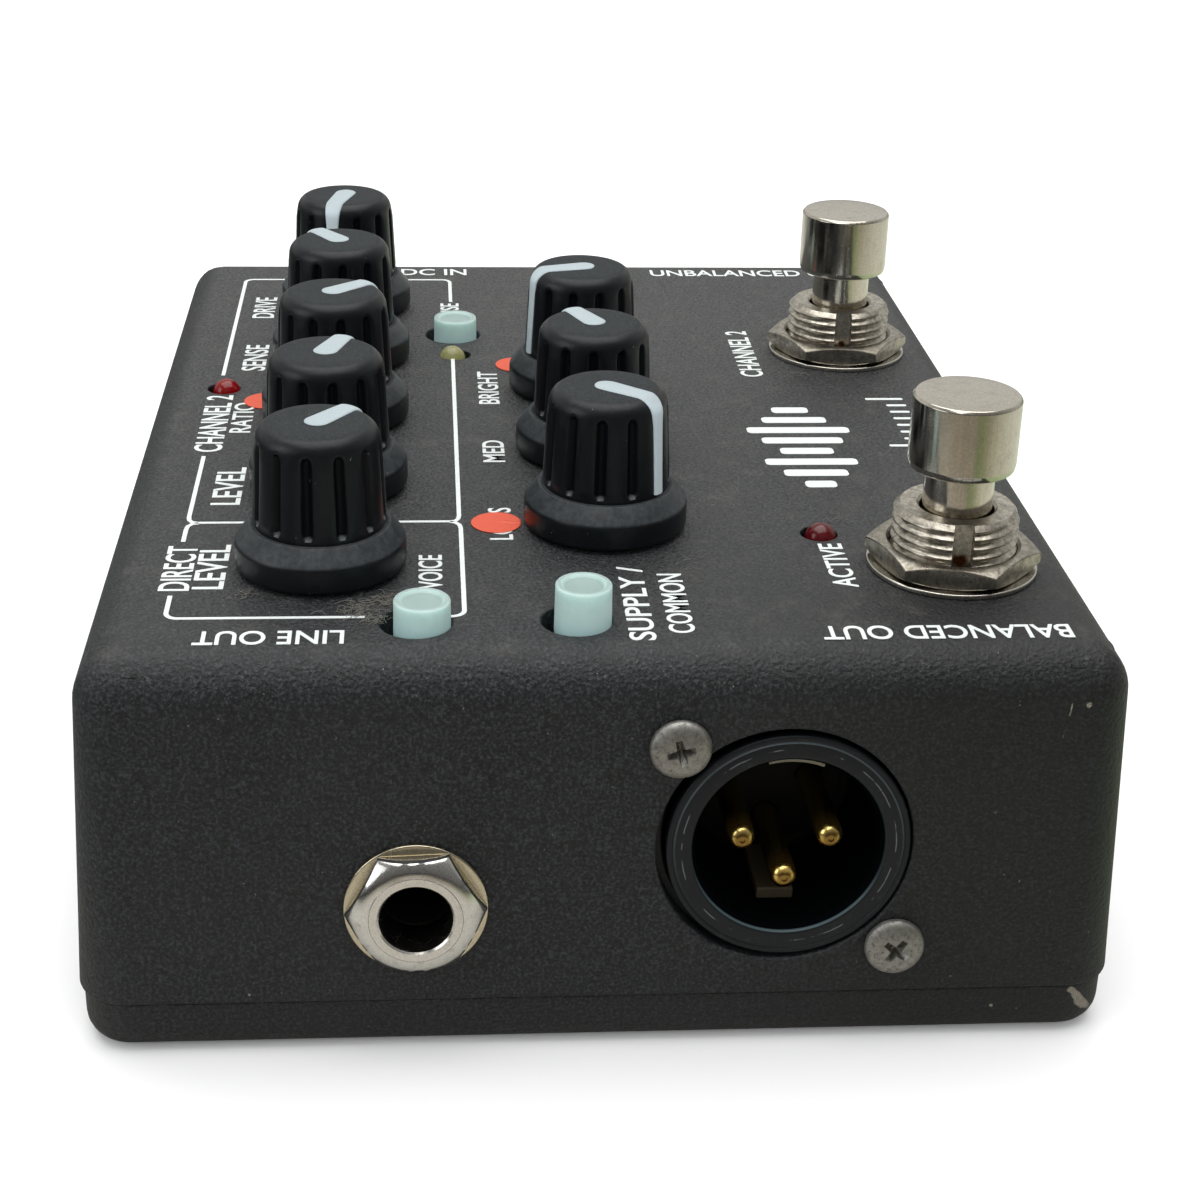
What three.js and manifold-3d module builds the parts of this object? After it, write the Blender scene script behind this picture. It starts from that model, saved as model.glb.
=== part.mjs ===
// Direct injection box: a cast two-part enclosure with eight rotary controls, two foot switches,
// three latching push buttons, three indicator lamps, three 6.35 mm jacks, a DC inlet and a
// three-pin balanced output connector.
//
// Millimetres, +Z up. Origin: centre of the base plate's underside. +X runs along the long side,
// away from the wall that holds the output jack and the balanced connector. +Y points away from
// the foot switches.

import * as THREE from 'three';
import { mergeVertices } from 'three/addons/utils/BufferGeometryUtils.js';
import Module from 'manifold-3d';

const wasm = await Module();
wasm.setup();

const radians = (degrees) => (degrees * Math.PI) / 180;

// ---------------------------------------------------------------- shared dimensions

// enclosure
const LENGTH = 119.5; // X, at the widest
const DEPTH = 94.0; // Y, at the widest
const TOP_Z = 38.38; // top face
const PARTING_Z = 5.42; // seam between base plate and enclosure
const DRAFT = radians(2.94); // casting draft of the side walls
const PLAN_R = 4.8; // plan corner radius at the widest
const WALL = 2.2;
const ROOF = 2.3;
const ROOF_Z = TOP_Z - ROOF; // underside of the roof
const BASE_FLOOR = 2.2;

// screw posts in the four corners
const POST_X = 53.0;
const POST_Y = 40.3;
const POST_R = 4.2;
const POSTS = [[-1, -1], [1, -1], [1, 1], [-1, 1]].map(([sx, sy]) => [sx * POST_X, sy * POST_Y]);

// circuit board, and the gaps left around mounted parts
const BOARD_Z = 27.5; // underside
const BOARD_T = 1.6;
const BOARD_TOP = BOARD_Z + BOARD_T;
const BOARD_GAP = 0.02;
const MOUNT_Z = ROOF_Z - 0.03; // top of the bodies under the roof
const MOUNT_BACK = -WALL - 0.15; // front of the bodies behind a wall, in the wall's frame

// rotary controls: name, x, y, angle of the pointer in degrees from +X towards +Y
const KNOBS = [
  ['clean_level', -37.85, 25.15, -38.0],
  ['drive_level', -18.8, 25.15, -21.0],
  ['blend', 0.25, 25.15, -49.5],
  ['trigger', 19.3, 25.15, 36.0],
  ['gain', 38.35, 25.15, 167.0],
  ['bass', -28.9, -1.55, -130.0],
  ['mid', -9.9, -1.55, 26.0],
  ['treble', 9.15, -1.55, 107.0],
];

// foot switches: name, x, y, phase of the nut's corners, direction of the keyway (degrees)
const FOOT_SWITCHES = [
  ['effect', -39.1, -33.0, 16, 175],
  ['distortion', 21.35, -32.65, 24, 176],
];

// push buttons: name, x, y of the cap, whether it is released, x, y of the panel hole
const BUTTONS = [
  ['colour', -50.3, 15.95, false, -50.25, 16.4],
  ['ground_lift', -50.2, 1.97, true, -50.15, 2.45],
  ['gate', 27.05, 12.0, false, 27.1, 12.3],
];

// indicator lamps: name, x, y, colour
const LAMPS = [
  ['drive', 8.65, 37.4, 0xb8101c],
  ['gate', 19.75, 12.44, 0x8f8a2e],
  ['effect', -31.9, -22.0, 0x6e1216],
];

// Wall connectors: y and z are where the axis crosses the outer wall, side is -1 or +1 along X.
const JACK_Z = 15.05;
const JACKS = [
  // name, side, y
  ['output', -1, 16.7],
  ['input', 1, 28.8],
  ['parallel', 1, -27.2],
];
const DC_Y = 14.3;
const DC_Z = JACK_Z;
const XLR_Y = -16.0;
const XLR_Z = 20.25;
const XLR_SCREW = 9.97; // screw offset from the connector's axis, both ways
const XLR_SCREWS = [[-XLR_SCREW, XLR_SCREW], [XLR_SCREW, -XLR_SCREW]];

// ---------------------------------------------------------------- materials

const material = (settings) => new THREE.MeshStandardMaterial(settings);
const MATERIALS = {
  shell: material({ color: 0x34373a, roughness: 0.62, metalness: 0.1 }),
  plate: material({ color: 0x303335, roughness: 0.6, metalness: 0.1 }),
  knob: material({ color: 0x161717, roughness: 0.55, metalness: 0 }),
  nickel: material({ color: 0xb8ae9c, roughness: 0.25, metalness: 1 }),
  steel: material({ color: 0x8d8b86, roughness: 0.45, metalness: 1 }),
  zinc: material({ color: 0xa9a294, roughness: 0.4, metalness: 1 }),
  mint: material({ color: 0xa9c6bd, roughness: 0.35, metalness: 0 }),
  black: material({ color: 0x0d0e0f, roughness: 0.4, metalness: 0 }),
  pin: material({ color: 0xd8a840, roughness: 0.2, metalness: 1 }),
  board: material({ color: 0x14402a, roughness: 0.5, metalness: 0 }),
  battery: material({ color: 0x2a2c30, roughness: 0.4, metalness: 0.2 }),
};

// ---------------------------------------------------------------- meshes and solids

function signedVolume(geometry) {
  const { position } = geometry.attributes;
  const { index } = geometry;
  const [a, b, c] = [new THREE.Vector3(), new THREE.Vector3(), new THREE.Vector3()];
  let volume = 0;
  for (let i = 0; i < index.count; i += 3) {
    a.fromBufferAttribute(position, index.getX(i));
    b.fromBufferAttribute(position, index.getX(i + 1));
    c.fromBufferAttribute(position, index.getX(i + 2));
    volume += a.dot(b.cross(c)) / 6;
  }
  return volume;
}

// Positions only, welded, without collapsed triangles and with every face turned outward.
function outward(geometry) {
  const bare = geometry.clone();
  for (const key of Object.keys(bare.attributes)) {
    if (key !== 'position') bare.deleteAttribute(key);
  }
  const welded = mergeVertices(bare, 1e-4);
  const index = welded.index.array;
  const kept = [];
  for (let i = 0; i < index.length; i += 3) {
    const [a, b, c] = [index[i], index[i + 1], index[i + 2]];
    if (a !== b && b !== c && a !== c) kept.push(a, b, c);
  }
  welded.setIndex(kept);
  if (signedVolume(welded) < 0) {
    for (let i = 0; i < kept.length; i += 3) {
      [kept[i + 1], kept[i + 2]] = [kept[i + 2], kept[i + 1]];
    }
    welded.setIndex(kept);
  }
  return welded;
}

function solid(geometry) {
  const closed = outward(geometry);
  return new wasm.Manifold(
    new wasm.Mesh({
      numProp: 3,
      vertProperties: new Float32Array(closed.attributes.position.array),
      triVerts: new Uint32Array(closed.index.array),
    }),
  );
}

const join = (body, ...parts) => parts.reduce((sum, part) => sum.add(solid(part)), body);
const carve = (body, ...parts) => parts.reduce((rest, part) => rest.subtract(solid(part)), body);

function geometryOf(body) {
  const mesh = body.getMesh();
  const geometry = new THREE.BufferGeometry();
  geometry.setAttribute('position', new THREE.Float32BufferAttribute(mesh.vertProperties, 3));
  geometry.setIndex(Array.from(mesh.triVerts));
  return geometry;
}

const group = new THREE.Group();

function add(name, geometry, meshMaterial) {
  const mesh = new THREE.Mesh(outward(geometry), meshMaterial);
  mesh.name = name;
  group.add(mesh);
  return mesh;
}

// ---------------------------------------------------------------- shapes

// Revolves a profile of [radius, z] points about Z.
const lathe = (profile, segments) =>
  new THREE.LatheGeometry(profile.map(([r, z]) => new THREE.Vector2(r, z)), segments)
    .rotateX(Math.PI / 2);

const rod = (r, z0, z1, segments) => lathe([[0, z0], [r, z0], [r, z1], [0, z1]], segments);

const box = (x0, x1, y0, y1, z0, z1) =>
  new THREE.BoxGeometry(x1 - x0, y1 - y0, z1 - z0)
    .translate((x0 + x1) / 2, (y0 + y1) / 2, (z0 + z1) / 2);

// A box centred on the Z axis.
const block = (width, depth, z0, z1) =>
  box(-width / 2, width / 2, -depth / 2, depth / 2, z0, z1);

const shift = (geometry, x, y) => geometry.translate(x, y, 0);

function prism(points, z0, z1) {
  const outline = new THREE.Shape(points.map(([x, y]) => new THREE.Vector2(x, y)));
  return new THREE.ExtrudeGeometry(outline, { depth: z1 - z0, bevelEnabled: false })
    .translate(0, 0, z0);
}

// Hexagonal nut blank trimmed to a revolved crown profile.
function crownedHex({ flats, z0, z1, phase, crown }) {
  const r = flats / Math.sqrt(3);
  const corners = [0, 1, 2, 3, 4, 5].map((k) => {
    const angle = radians(phase + 60 * k);
    return [r * Math.cos(angle), r * Math.sin(angle)];
  });
  return solid(prism(corners, z0, z1)).intersect(solid(lathe(crown, 18)));
}

// The enclosure's plan outline lofted through rings of [z, inset].
// Each vertex is moved inward along its outline's own normal.
function loft(rings, curveSegments) {
  const minRadius = 0.35;
  const hx = LENGTH / 2 - PLAN_R;
  const hy = DEPTH / 2 - PLAN_R;
  const outline = new THREE.Shape();
  outline.absarc(hx, hy, PLAN_R, 0, Math.PI / 2);
  outline.absarc(-hx, hy, PLAN_R, Math.PI / 2, Math.PI);
  outline.absarc(-hx, -hy, PLAN_R, Math.PI, 1.5 * Math.PI);
  outline.absarc(hx, -hy, PLAN_R, 1.5 * Math.PI, 2 * Math.PI);
  const steps = rings.length - 1;
  const geometry = new THREE.ExtrudeGeometry(outline, {
    depth: steps,
    steps,
    bevelEnabled: false,
    curveSegments,
  });
  const { position } = geometry.attributes;
  for (let i = 0; i < position.count; i++) {
    const x = position.getX(i);
    const y = position.getY(i);
    const [z, inset] = rings[Math.round(position.getZ(i))];
    const cx = Math.max(-hx, Math.min(hx, x));
    const cy = Math.max(-hy, Math.min(hy, y));
    const r = Math.hypot(x - cx, y - cy);
    const along = PLAN_R - Math.max(PLAN_R - inset, minRadius);
    // past the corner radius, the corner's centre moves in as well
    const extra = inset - along;
    position.setXYZ(
      i,
      x - ((x - cx) / r) * along - Math.sign(cx) * extra,
      y - ((y - cy) / r) * along - Math.sign(cy) * extra,
      z,
    );
  }
  return geometry;
}

const wallInset = (z) => (z - PARTING_Z) * Math.tan(DRAFT);

// Local frame on a side wall: local +Z leaves the wall, local +Y runs up it.
function wallFrame(side, y, z) {
  const normal = new THREE.Vector3(side * Math.cos(DRAFT), 0, Math.sin(DRAFT));
  const up = new THREE.Vector3(-side * Math.sin(DRAFT), 0, Math.cos(DRAFT));
  const right = new THREE.Vector3().crossVectors(up, normal);
  const frame = new THREE.Matrix4().makeBasis(right, up, normal);
  return frame.setPosition(side * (LENGTH / 2 - wallInset(z)), y, z);
}

// ---------------------------------------------------------------- enclosure

const TOP_FILLET = 4.6;
const ROOF_CHAMFER = 1.6; // inside, between walls and roof
const POST_BORE_R = 1.4;
const POST_BORE_TOP = 18.5;

const POT_HOLE_R = 3.75;
const FOOT_HOLE_R = 6.05;
const BUTTON_HOLE_R = 3.3;
const LAMP_HOLE_R = 1.7;
const JACK_HOLE_R = 4.4;
const DC_HOLE_R = 5.6;
const XLR_HOLE_Y = -15.62;
const XLR_HOLE_Z = 20.37;
const XLR_HOLE_R = 11.38;
const XLR_SCREW_HOLE_R = 1.65;

function enclosureHoles() {
  const roofHole = (r, segments, x, y) => shift(rod(r, ROOF_Z - 2, TOP_Z + 1, segments), x, y);
  const wallHole = (r, segments, side, y, z, dx = 0, dy = 0) =>
    shift(rod(r, -6, 3, segments), dx, dy).applyMatrix4(wallFrame(side, y, z));
  return [
    ...POSTS.map(([x, y]) => shift(rod(POST_BORE_R, PARTING_Z - 1, POST_BORE_TOP, 8), x, y)),
    ...KNOBS.map(([, x, y]) => roofHole(POT_HOLE_R, 12, x, y)),
    ...FOOT_SWITCHES.map(([, x, y]) => roofHole(FOOT_HOLE_R, 18, x, y)),
    ...BUTTONS.map(([, , , , x, y]) => roofHole(BUTTON_HOLE_R, 16, x, y)),
    ...LAMPS.map(([, x, y]) => roofHole(LAMP_HOLE_R, 10, x, y)),
    ...JACKS.map(([, side, y]) => wallHole(JACK_HOLE_R, 16, side, y, JACK_Z)),
    wallHole(DC_HOLE_R, 16, 1, DC_Y, DC_Z),
    wallHole(XLR_HOLE_R, 30, -1, XLR_HOLE_Y, XLR_HOLE_Z),
    ...XLR_SCREWS.map(([dx, dy]) => wallHole(XLR_SCREW_HOLE_R, 8, -1, XLR_Y, XLR_Z, dx, dy)),
  ];
}

function addEnclosure() {
  const filletZ = TOP_Z - TOP_FILLET;
  const rings = [[PARTING_Z, 0]];
  for (const degrees of [0, 30, 60, 90]) {
    const angle = radians(degrees);
    rings.push([
      filletZ + TOP_FILLET * Math.sin(angle),
      wallInset(filletZ) + TOP_FILLET * (1 - Math.cos(angle)),
    ]);
  }
  const chamferZ = ROOF_Z - ROOF_CHAMFER;
  const chamferInset = WALL + wallInset(chamferZ);
  const hollow = loft(
    [
      [PARTING_Z - 1, WALL + wallInset(PARTING_Z - 1)],
      [chamferZ, chamferInset],
      [ROOF_Z, chamferInset + ROOF_CHAMFER],
    ],
    2,
  );
  const posts = POSTS.map(([x, y]) => shift(rod(POST_R, PARTING_Z - 2, TOP_Z, 12), x, y));
  const cavity = carve(solid(hollow), ...posts);
  const shell = carve(solid(loft(rings, 4)).subtract(cavity), ...enclosureHoles());
  add('enclosure_body', geometryOf(shell), MATERIALS.shell);
}

// ---------------------------------------------------------------- base plate

const BASE_INSET = 0.39;
const BASE_FILLET = 2.48;
const BASE_TOP = PARTING_Z - 0.02;
const LIP_BOTTOM = 4; // buried in the plate
const LIP_TOP = 7.2;
const POCKET_INSET = 3.9;
const PAD_R = POST_R + 0.6; // pads left standing in the pocket under the posts
const LIP_RELIEF_R = POST_R + 0.7;

function addBasePlate() {
  const rings = [90, 45, 0].map((degrees) => {
    const angle = radians(degrees);
    return [
      BASE_FILLET * (1 - Math.sin(angle)),
      BASE_INSET + BASE_FILLET * (1 - Math.cos(angle)),
    ];
  });
  rings.push([BASE_TOP, BASE_INSET]);

  const lip = carve(
    solid(loft([[LIP_BOTTOM, WALL + 0.3], [LIP_TOP, WALL + 0.45]], 2)),
    ...POSTS.map(([x, y]) => shift(rod(LIP_RELIEF_R, BASE_TOP, 12, 10), x, y)),
  );
  const pocket = carve(
    solid(loft([[BASE_FLOOR, POCKET_INSET], [9, POCKET_INSET]], 2)),
    ...POSTS.map(([x, y]) => shift(rod(PAD_R, 0, PARTING_Z + 0.3, 10), x, y)),
  );
  const countersink = [[0, -1], [3.2, -1], [3.2, 0.25], [1.7, 1.8], [1.7, 8], [0, 8]];
  const plate = carve(
    solid(loft(rings, 4)).add(lip).subtract(pocket),
    ...POSTS.map(([x, y]) => shift(lathe(countersink, 12), x, y)),
  );
  // only the largest piece is kept, without any loose corner slivers of the lip
  const pieces = plate.decompose();
  pieces.sort((a, b) => b.volume() - a.volume());
  add('base_plate', geometryOf(pieces[0]), MATERIALS.plate);
}

function addBaseScrews() {
  const profile = [[0, 0.12], [2.85, 0.12], [2.85, 0.35], [1.25, 1.9], [1.25, 13.4], [0, 13.4]];
  POSTS.forEach(([x, y], i) => {
    add(`base_screw_${i + 1}`, shift(lathe(profile, 10), x, y), MATERIALS.steel);
  });
}

// ---------------------------------------------------------------- rotary controls

const SKIRT_R = 7.79;
const CAP_R0 = 5.97; // cap radius just above the skirt
const CAP_R1 = 5.58; // cap radius below the shoulder
const CAP_TOP_R = 4.9;
const KNOB_LIFT = 0.35; // gap between the skirt and the panel
const KNOB_H = 13.87; // from panel to the knob's top
const KNOB_BORE_R = 3.12;
const KNOB_BORE_TOP = 12.6; // above the panel
const KNOB_SIDES = 24;
const FLUTE = 0.45; // depth of the flutes in the cap

const SHAFT_R = 3.0;
const SHAFT_BOTTOM = 31.2;
const SHAFT_TOP = TOP_Z + 12.3;
const BUSH_R = 3.5;
const BUSH_TOP = TOP_Z + 4.6;
const BUSH_BORE_R = 3.14;
const BUSH_BORE_BOTTOM = 30.9;

// Knob with a skirt, fluted cap and hollow underside; the pointer is towards local +X.
function knobGeometry() {
  // radius, height above the panel
  const profile = [
    [0, KNOB_BORE_TOP],
    [KNOB_BORE_R, KNOB_BORE_TOP],
    [KNOB_BORE_R, 5.2],
    [4.9, 5.2],
    [6.7, KNOB_LIFT],
    [SKIRT_R, KNOB_LIFT],
    [SKIRT_R - 0.02, 2.75],
    [CAP_R0, 4.4],
    [CAP_R1, 13.1],
    [CAP_TOP_R, KNOB_H],
    [0, KNOB_H],
  ];
  const geometry = lathe(profile.map(([r, height]) => [r, TOP_Z + height]), KNOB_SIDES);
  const { position } = geometry.attributes;
  for (let i = 0; i < position.count; i++) {
    const [x, y, z] = [position.getX(i), position.getY(i), position.getZ(i)];
    const r = Math.hypot(x, y);
    const height = z - TOP_Z;
    const step = Math.round((Math.atan2(y, x) * KNOB_SIDES) / (2 * Math.PI));
    const onCapSide = r > 5 && height > 4 && height < 13.5;
    // every second edge of the cap is drawn in, except the one at the pointer
    if (onCapSide && step % 2 === 0 && step !== 0) {
      const scale = (r - FLUTE) / r;
      position.setXYZ(i, x * scale, y * scale, z);
    }
  }
  return geometry;
}

function potentiometerGeometry() {
  const body = join(
    solid(box(-4.9, 4.9, -5.4, 4.9, BOARD_TOP + BOARD_GAP, MOUNT_Z)),
    rod(BUSH_R, MOUNT_Z - 1, BUSH_TOP, 14),
  );
  return geometryOf(carve(body, rod(BUSH_BORE_R, BUSH_BORE_BOTTOM, TOP_Z + 6, 14)));
}

function addRotaryControl([name, x, y, angle]) {
  const knob = add(`knob_${name}`, knobGeometry(), MATERIALS.knob);
  knob.position.set(x, y, 0);
  knob.rotation.z = radians(angle);
  const shaft = rod(SHAFT_R, SHAFT_BOTTOM, SHAFT_TOP, 14);
  add(`shaft_${name}`, shift(shaft, x, y), MATERIALS.steel);
  add(`potentiometer_${name}`, shift(potentiometerGeometry(), x, y), MATERIALS.zinc);
}

// ---------------------------------------------------------------- foot switches

const FS_THREAD_R = 5.8;
const FS_TOP_Z = 44.5; // top of the threaded bush
const FS_BORE_R = 3.45;
const FS_BORE_BOTTOM = 31.2;
const FS_BODY_H = 12;
const FS_STEM_R = 3.2;
const FS_STEM_BOTTOM = 34.2;
const FS_CAP_R = 4.92;
const FS_CAP_BOTTOM = 48.35;
const FS_CAP_TOP = 55.23;
const FS_WASHER_R = 7.87;
const FS_WASHER_Z = TOP_Z + 0.02;
const FS_WASHER_T = 0.48;
const FS_NUT_FLATS = 14.0;
const FS_NUT_Z = TOP_Z + FS_WASHER_T + 0.05;
const FS_NUT_TOP = FS_NUT_Z + 2.0;

function plungerGeometry() {
  const profile = [
    [0, FS_STEM_BOTTOM],
    [FS_STEM_R, FS_STEM_BOTTOM],
    [FS_STEM_R, FS_CAP_BOTTOM],
    [4.86, FS_CAP_BOTTOM],
    [FS_CAP_R, FS_CAP_TOP - 0.3],
    [4.66, FS_CAP_TOP],
    [0, FS_CAP_TOP],
  ];
  return lathe(profile, 18);
}

function footSwitchBodyGeometry(keyAngle) {
  const bush = [
    [0, MOUNT_Z - 2],
    [FS_THREAD_R, MOUNT_Z - 2],
    [FS_THREAD_R, FS_TOP_Z - 0.6],
    [5.0, FS_TOP_Z],
    [0, FS_TOP_Z],
  ];
  const keyway = box(5.0, 7, -0.97, 0.97, 38.5, 46).rotateZ(radians(keyAngle));
  const body = join(solid(block(16, 12.4, MOUNT_Z - FS_BODY_H, MOUNT_Z)), lathe(bush, 18));
  return geometryOf(carve(body, rod(FS_BORE_R, FS_BORE_BOTTOM, 50, 18), keyway));
}

function footNutGeometry(phase) {
  const crown = [
    [0, FS_NUT_Z - 1],
    [9, FS_NUT_Z - 1],
    [9, FS_NUT_TOP - 0.95],
    [7.0, FS_NUT_TOP + 0.02],
    [0, FS_NUT_TOP + 0.02],
  ];
  const blank = crownedHex({ flats: FS_NUT_FLATS, z0: FS_NUT_Z, z1: FS_NUT_TOP, phase, crown });
  return geometryOf(carve(blank, rod(FS_THREAD_R + 0.15, FS_NUT_Z - 1, FS_NUT_Z + 4, 18)));
}

function footWasherGeometry() {
  const hole = FS_THREAD_R + 0.25;
  const top = FS_WASHER_Z + FS_WASHER_T;
  const profile = [
    [hole, FS_WASHER_Z],
    [FS_WASHER_R, FS_WASHER_Z],
    [FS_WASHER_R, top],
    [hole, top],
    [hole, FS_WASHER_Z],
  ];
  return lathe(profile, 20);
}

function addFootSwitch([name, x, y, nutPhase, keyAngle]) {
  const addPart = (part, geometry, partMaterial) =>
    add(`footswitch_${name}_${part}`, shift(geometry, x, y), partMaterial);
  addPart('plunger', plungerGeometry(), MATERIALS.nickel);
  addPart('body', footSwitchBodyGeometry(keyAngle), MATERIALS.zinc);
  addPart('nut', footNutGeometry(nutPhase), MATERIALS.zinc);
  addPart('washer', footWasherGeometry(), MATERIALS.zinc);
}

// ---------------------------------------------------------------- push buttons and lamps

const BUTTON_R = 2.5;
const BUTTON_STEM_R = 1.2;
const BUTTON_BEVEL = 0.35;
const BUTTON_H = 2.25; // top of a latched button above the panel
const RELEASE_LIFT = 1.33; // how far a released button stands above a latched one

const LAMP_R = 1.5;
const LAMP_FLANGE_R = 1.9;
const LAMP_BOTTOM = 33.2;
const LAMP_TOP = TOP_Z + 1.05;
const LAMP_LEG_X = 1.0; // either side of the lamp's axis
const LAMP_LEG_W = 0.5;

function addPushButton([name, x, y, released]) {
  const lift = released ? RELEASE_LIFT : 0;
  const top = TOP_Z + BUTTON_H + lift;
  const profile = [
    [0, 31.4 + lift],
    [BUTTON_STEM_R, 31.4 + lift],
    [BUTTON_STEM_R, 35 + lift],
    [BUTTON_R, 35 + lift],
    [BUTTON_R, top - BUTTON_BEVEL],
    [BUTTON_R - BUTTON_BEVEL, top],
    [0, top],
  ];
  add(`push_button_${name}`, shift(lathe(profile, 14), x, y), MATERIALS.mint);
}

function addLamp([name, x, y, color]) {
  const profile = [
    [0, LAMP_BOTTOM],
    [LAMP_FLANGE_R, LAMP_BOTTOM],
    [LAMP_FLANGE_R, LAMP_BOTTOM + 1],
    [LAMP_R, LAMP_BOTTOM + 1],
    [LAMP_R, TOP_Z + 0.2],
    [0.9, LAMP_TOP],
    [0, LAMP_TOP],
  ];
  const legs = [-1, 1].map((side) => {
    const leg = block(LAMP_LEG_W, LAMP_LEG_W, BOARD_TOP + BOARD_GAP, LAMP_BOTTOM + 0.3);
    return shift(leg, side * LAMP_LEG_X, 0);
  });
  const lamp = geometryOf(join(solid(lathe(profile, 10)), ...legs));
  add(`lamp_${name}`, shift(lamp, x, y), material({ color, roughness: 0.25, metalness: 0 }));
}

// ---------------------------------------------------------------- jacks and DC inlet

const JACK_BODY_W = 13.6; // square
const JACK_BODY_BACK = -27;
const JACK_BORE_R = 3.24;
const JACK_BORE_BACK = -25.5;
const JACK_BUSH_R = 4.1;
const JACK_FRONT = 2.45; // bushing face proud of the wall
const JACK_NUT_FLATS = 10.8;
const JACK_NUT_FRONT = 2.3;
const JACK_WASHER_R = 6.33;

function addJack([name, side, y]) {
  const frame = wallFrame(side, y, JACK_Z);
  const body = join(
    solid(block(JACK_BODY_W, JACK_BODY_W, JACK_BODY_BACK, MOUNT_BACK)),
    rod(JACK_BUSH_R, MOUNT_BACK - 2, JACK_FRONT, 16),
  );
  const bored = carve(body, rod(JACK_BORE_R, JACK_BORE_BACK, JACK_FRONT + 2, 16));
  add(`${name}_jack`, geometryOf(bored).applyMatrix4(frame), MATERIALS.black);

  // nut with a crowned face, joined to a round washer face against the wall
  const blank = crownedHex({
    flats: JACK_NUT_FLATS,
    z0: 0.5,
    z1: JACK_NUT_FRONT,
    phase: 2,
    crown: [[0, 0.4], [6.3, 0.4], [6.3, 1.2], [4.5, JACK_NUT_FRONT], [0, JACK_NUT_FRONT]],
  });
  const nut = carve(
    join(blank, rod(JACK_WASHER_R, 0.05, 0.52, 18)),
    rod(JACK_BUSH_R + 0.14, -1, 4, 16),
  );
  add(`${name}_jack_nut`, geometryOf(nut).applyMatrix4(frame), MATERIALS.nickel);
}

function addDcInlet() {
  const barrel = [
    [0, -14], [5.3, -14], [5.3, 0.05], [6.0, 0.05], [6.0, 1.3], [5.6, 1.7], [0, 1.7],
  ];
  const socket = rod(2.8, -10, 3, 12);
  const centrePin = rod(1.03, -11, -0.7, 8);
  const inlet = join(carve(solid(lathe(barrel, 16)), socket), centrePin);
  const frame = wallFrame(1, DC_Y, DC_Z);
  add('dc_inlet', geometryOf(inlet).applyMatrix4(frame), MATERIALS.black);
}

// ---------------------------------------------------------------- balanced connector

const XLR_RING_R = 10.85;
const XLR_BORE_R = 8.2;
const XLR_MOUTH_R = 8.56;
const XLR_FRONT = -0.2; // just behind the wall's outer face
const XLR_BACK = -19;
const XLR_BORE_BACK = -14.5;
const XLR_PIN_R = 1.2;
const XLR_PIN_HOLE_R = 1.4;
const XLR_PIN_PITCH = 3.95; // pin offset from the connector's axis
const XLR_PINS = [[-XLR_PIN_PITCH, 0], [XLR_PIN_PITCH, 0], [0, -XLR_PIN_PITCH]];

function xlrShellGeometry() {
  const barrel = [
    [0, XLR_BACK],
    [XLR_RING_R, XLR_BACK],
    [XLR_RING_R, -0.5],
    [XLR_RING_R - 0.3, XLR_FRONT],
    [0, XLR_FRONT],
  ];
  const bore = [
    [0, XLR_BORE_BACK],
    [XLR_BORE_R, XLR_BORE_BACK],
    [XLR_BORE_R, -0.65],
    [XLR_MOUTH_R, XLR_FRONT],
    [XLR_MOUTH_R, 2],
    [0, 2],
  ];
  const flange = box(-12.6, 12.6, -12.4, 11.6, -4.6, MOUNT_BACK);
  const alignmentRib = box(-0.6, 1.5, -8.6, -7.0, -14.6, -3); // low in the bore
  const hollow = carve(join(solid(lathe(barrel, 28)), flange), lathe(bore, 24));
  const shell = carve(
    join(hollow, alignmentRib),
    ...XLR_PINS.map(([x, y]) => shift(rod(XLR_PIN_HOLE_R, -20, -14, 8), x, y)),
    ...XLR_SCREWS.map(([x, y]) => shift(rod(1.55, -6, 0, 8), x, y)),
  );
  return geometryOf(shell);
}

function addBalancedOutput() {
  const frame = wallFrame(-1, XLR_Y, XLR_Z);
  const addPart = (part, geometry, partMaterial) =>
    add(`balanced_output_${part}`, geometry.applyMatrix4(frame), partMaterial);

  addPart('shell', xlrShellGeometry(), MATERIALS.black);

  const pin = [[0, -23.5], [XLR_PIN_R, -23.5], [XLR_PIN_R, -2.1], [0.8, -1.4], [0, -1.4]];
  XLR_PINS.forEach(([x, y], i) => {
    addPart(`pin_${i + 1}`, shift(lathe(pin, 10), x, y), MATERIALS.pin);
  });

  const screw = [
    [0, -6.5], [1.35, -6.5], [1.35, 0.05], [2.7, 0.05], [2.62, 0.5], [1.6, 1.3], [0, 1.5],
  ];
  XLR_SCREWS.forEach(([x, y], i) => {
    addPart(`screw_${i + 1}`, shift(lathe(screw, 12), x, y), MATERIALS.steel);
  });
}

// ---------------------------------------------------------------- circuit board

// x, y of the board's corners
const BOARD_OUTLINE = [
  [-54, -2.6], [-35.4, -2.6], [-35.4, -24.3], [48, -24.3],
  [48, 40], [-47.8, 40], [-47.8, 35], [-54, 35],
];
// rectangular parts: x, y, width, depth, height above the board
const BLOCK_PARTS = [
  [-6, 12, 9, 6.2, 2],
  [-36, 11.5, 9, 6.2, 2],
  [34, -8, 12, 8, 2.2],
  [38, 5, 6, 4, 2],
  [5, -18, 14, 5, 1.8],
];
const ROUND_PARTS = [[28, -14], [44, 14]]; // x, y
const SUNK_Z = BOARD_TOP - 0.2; // parts start inside the board so that they join it

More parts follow.
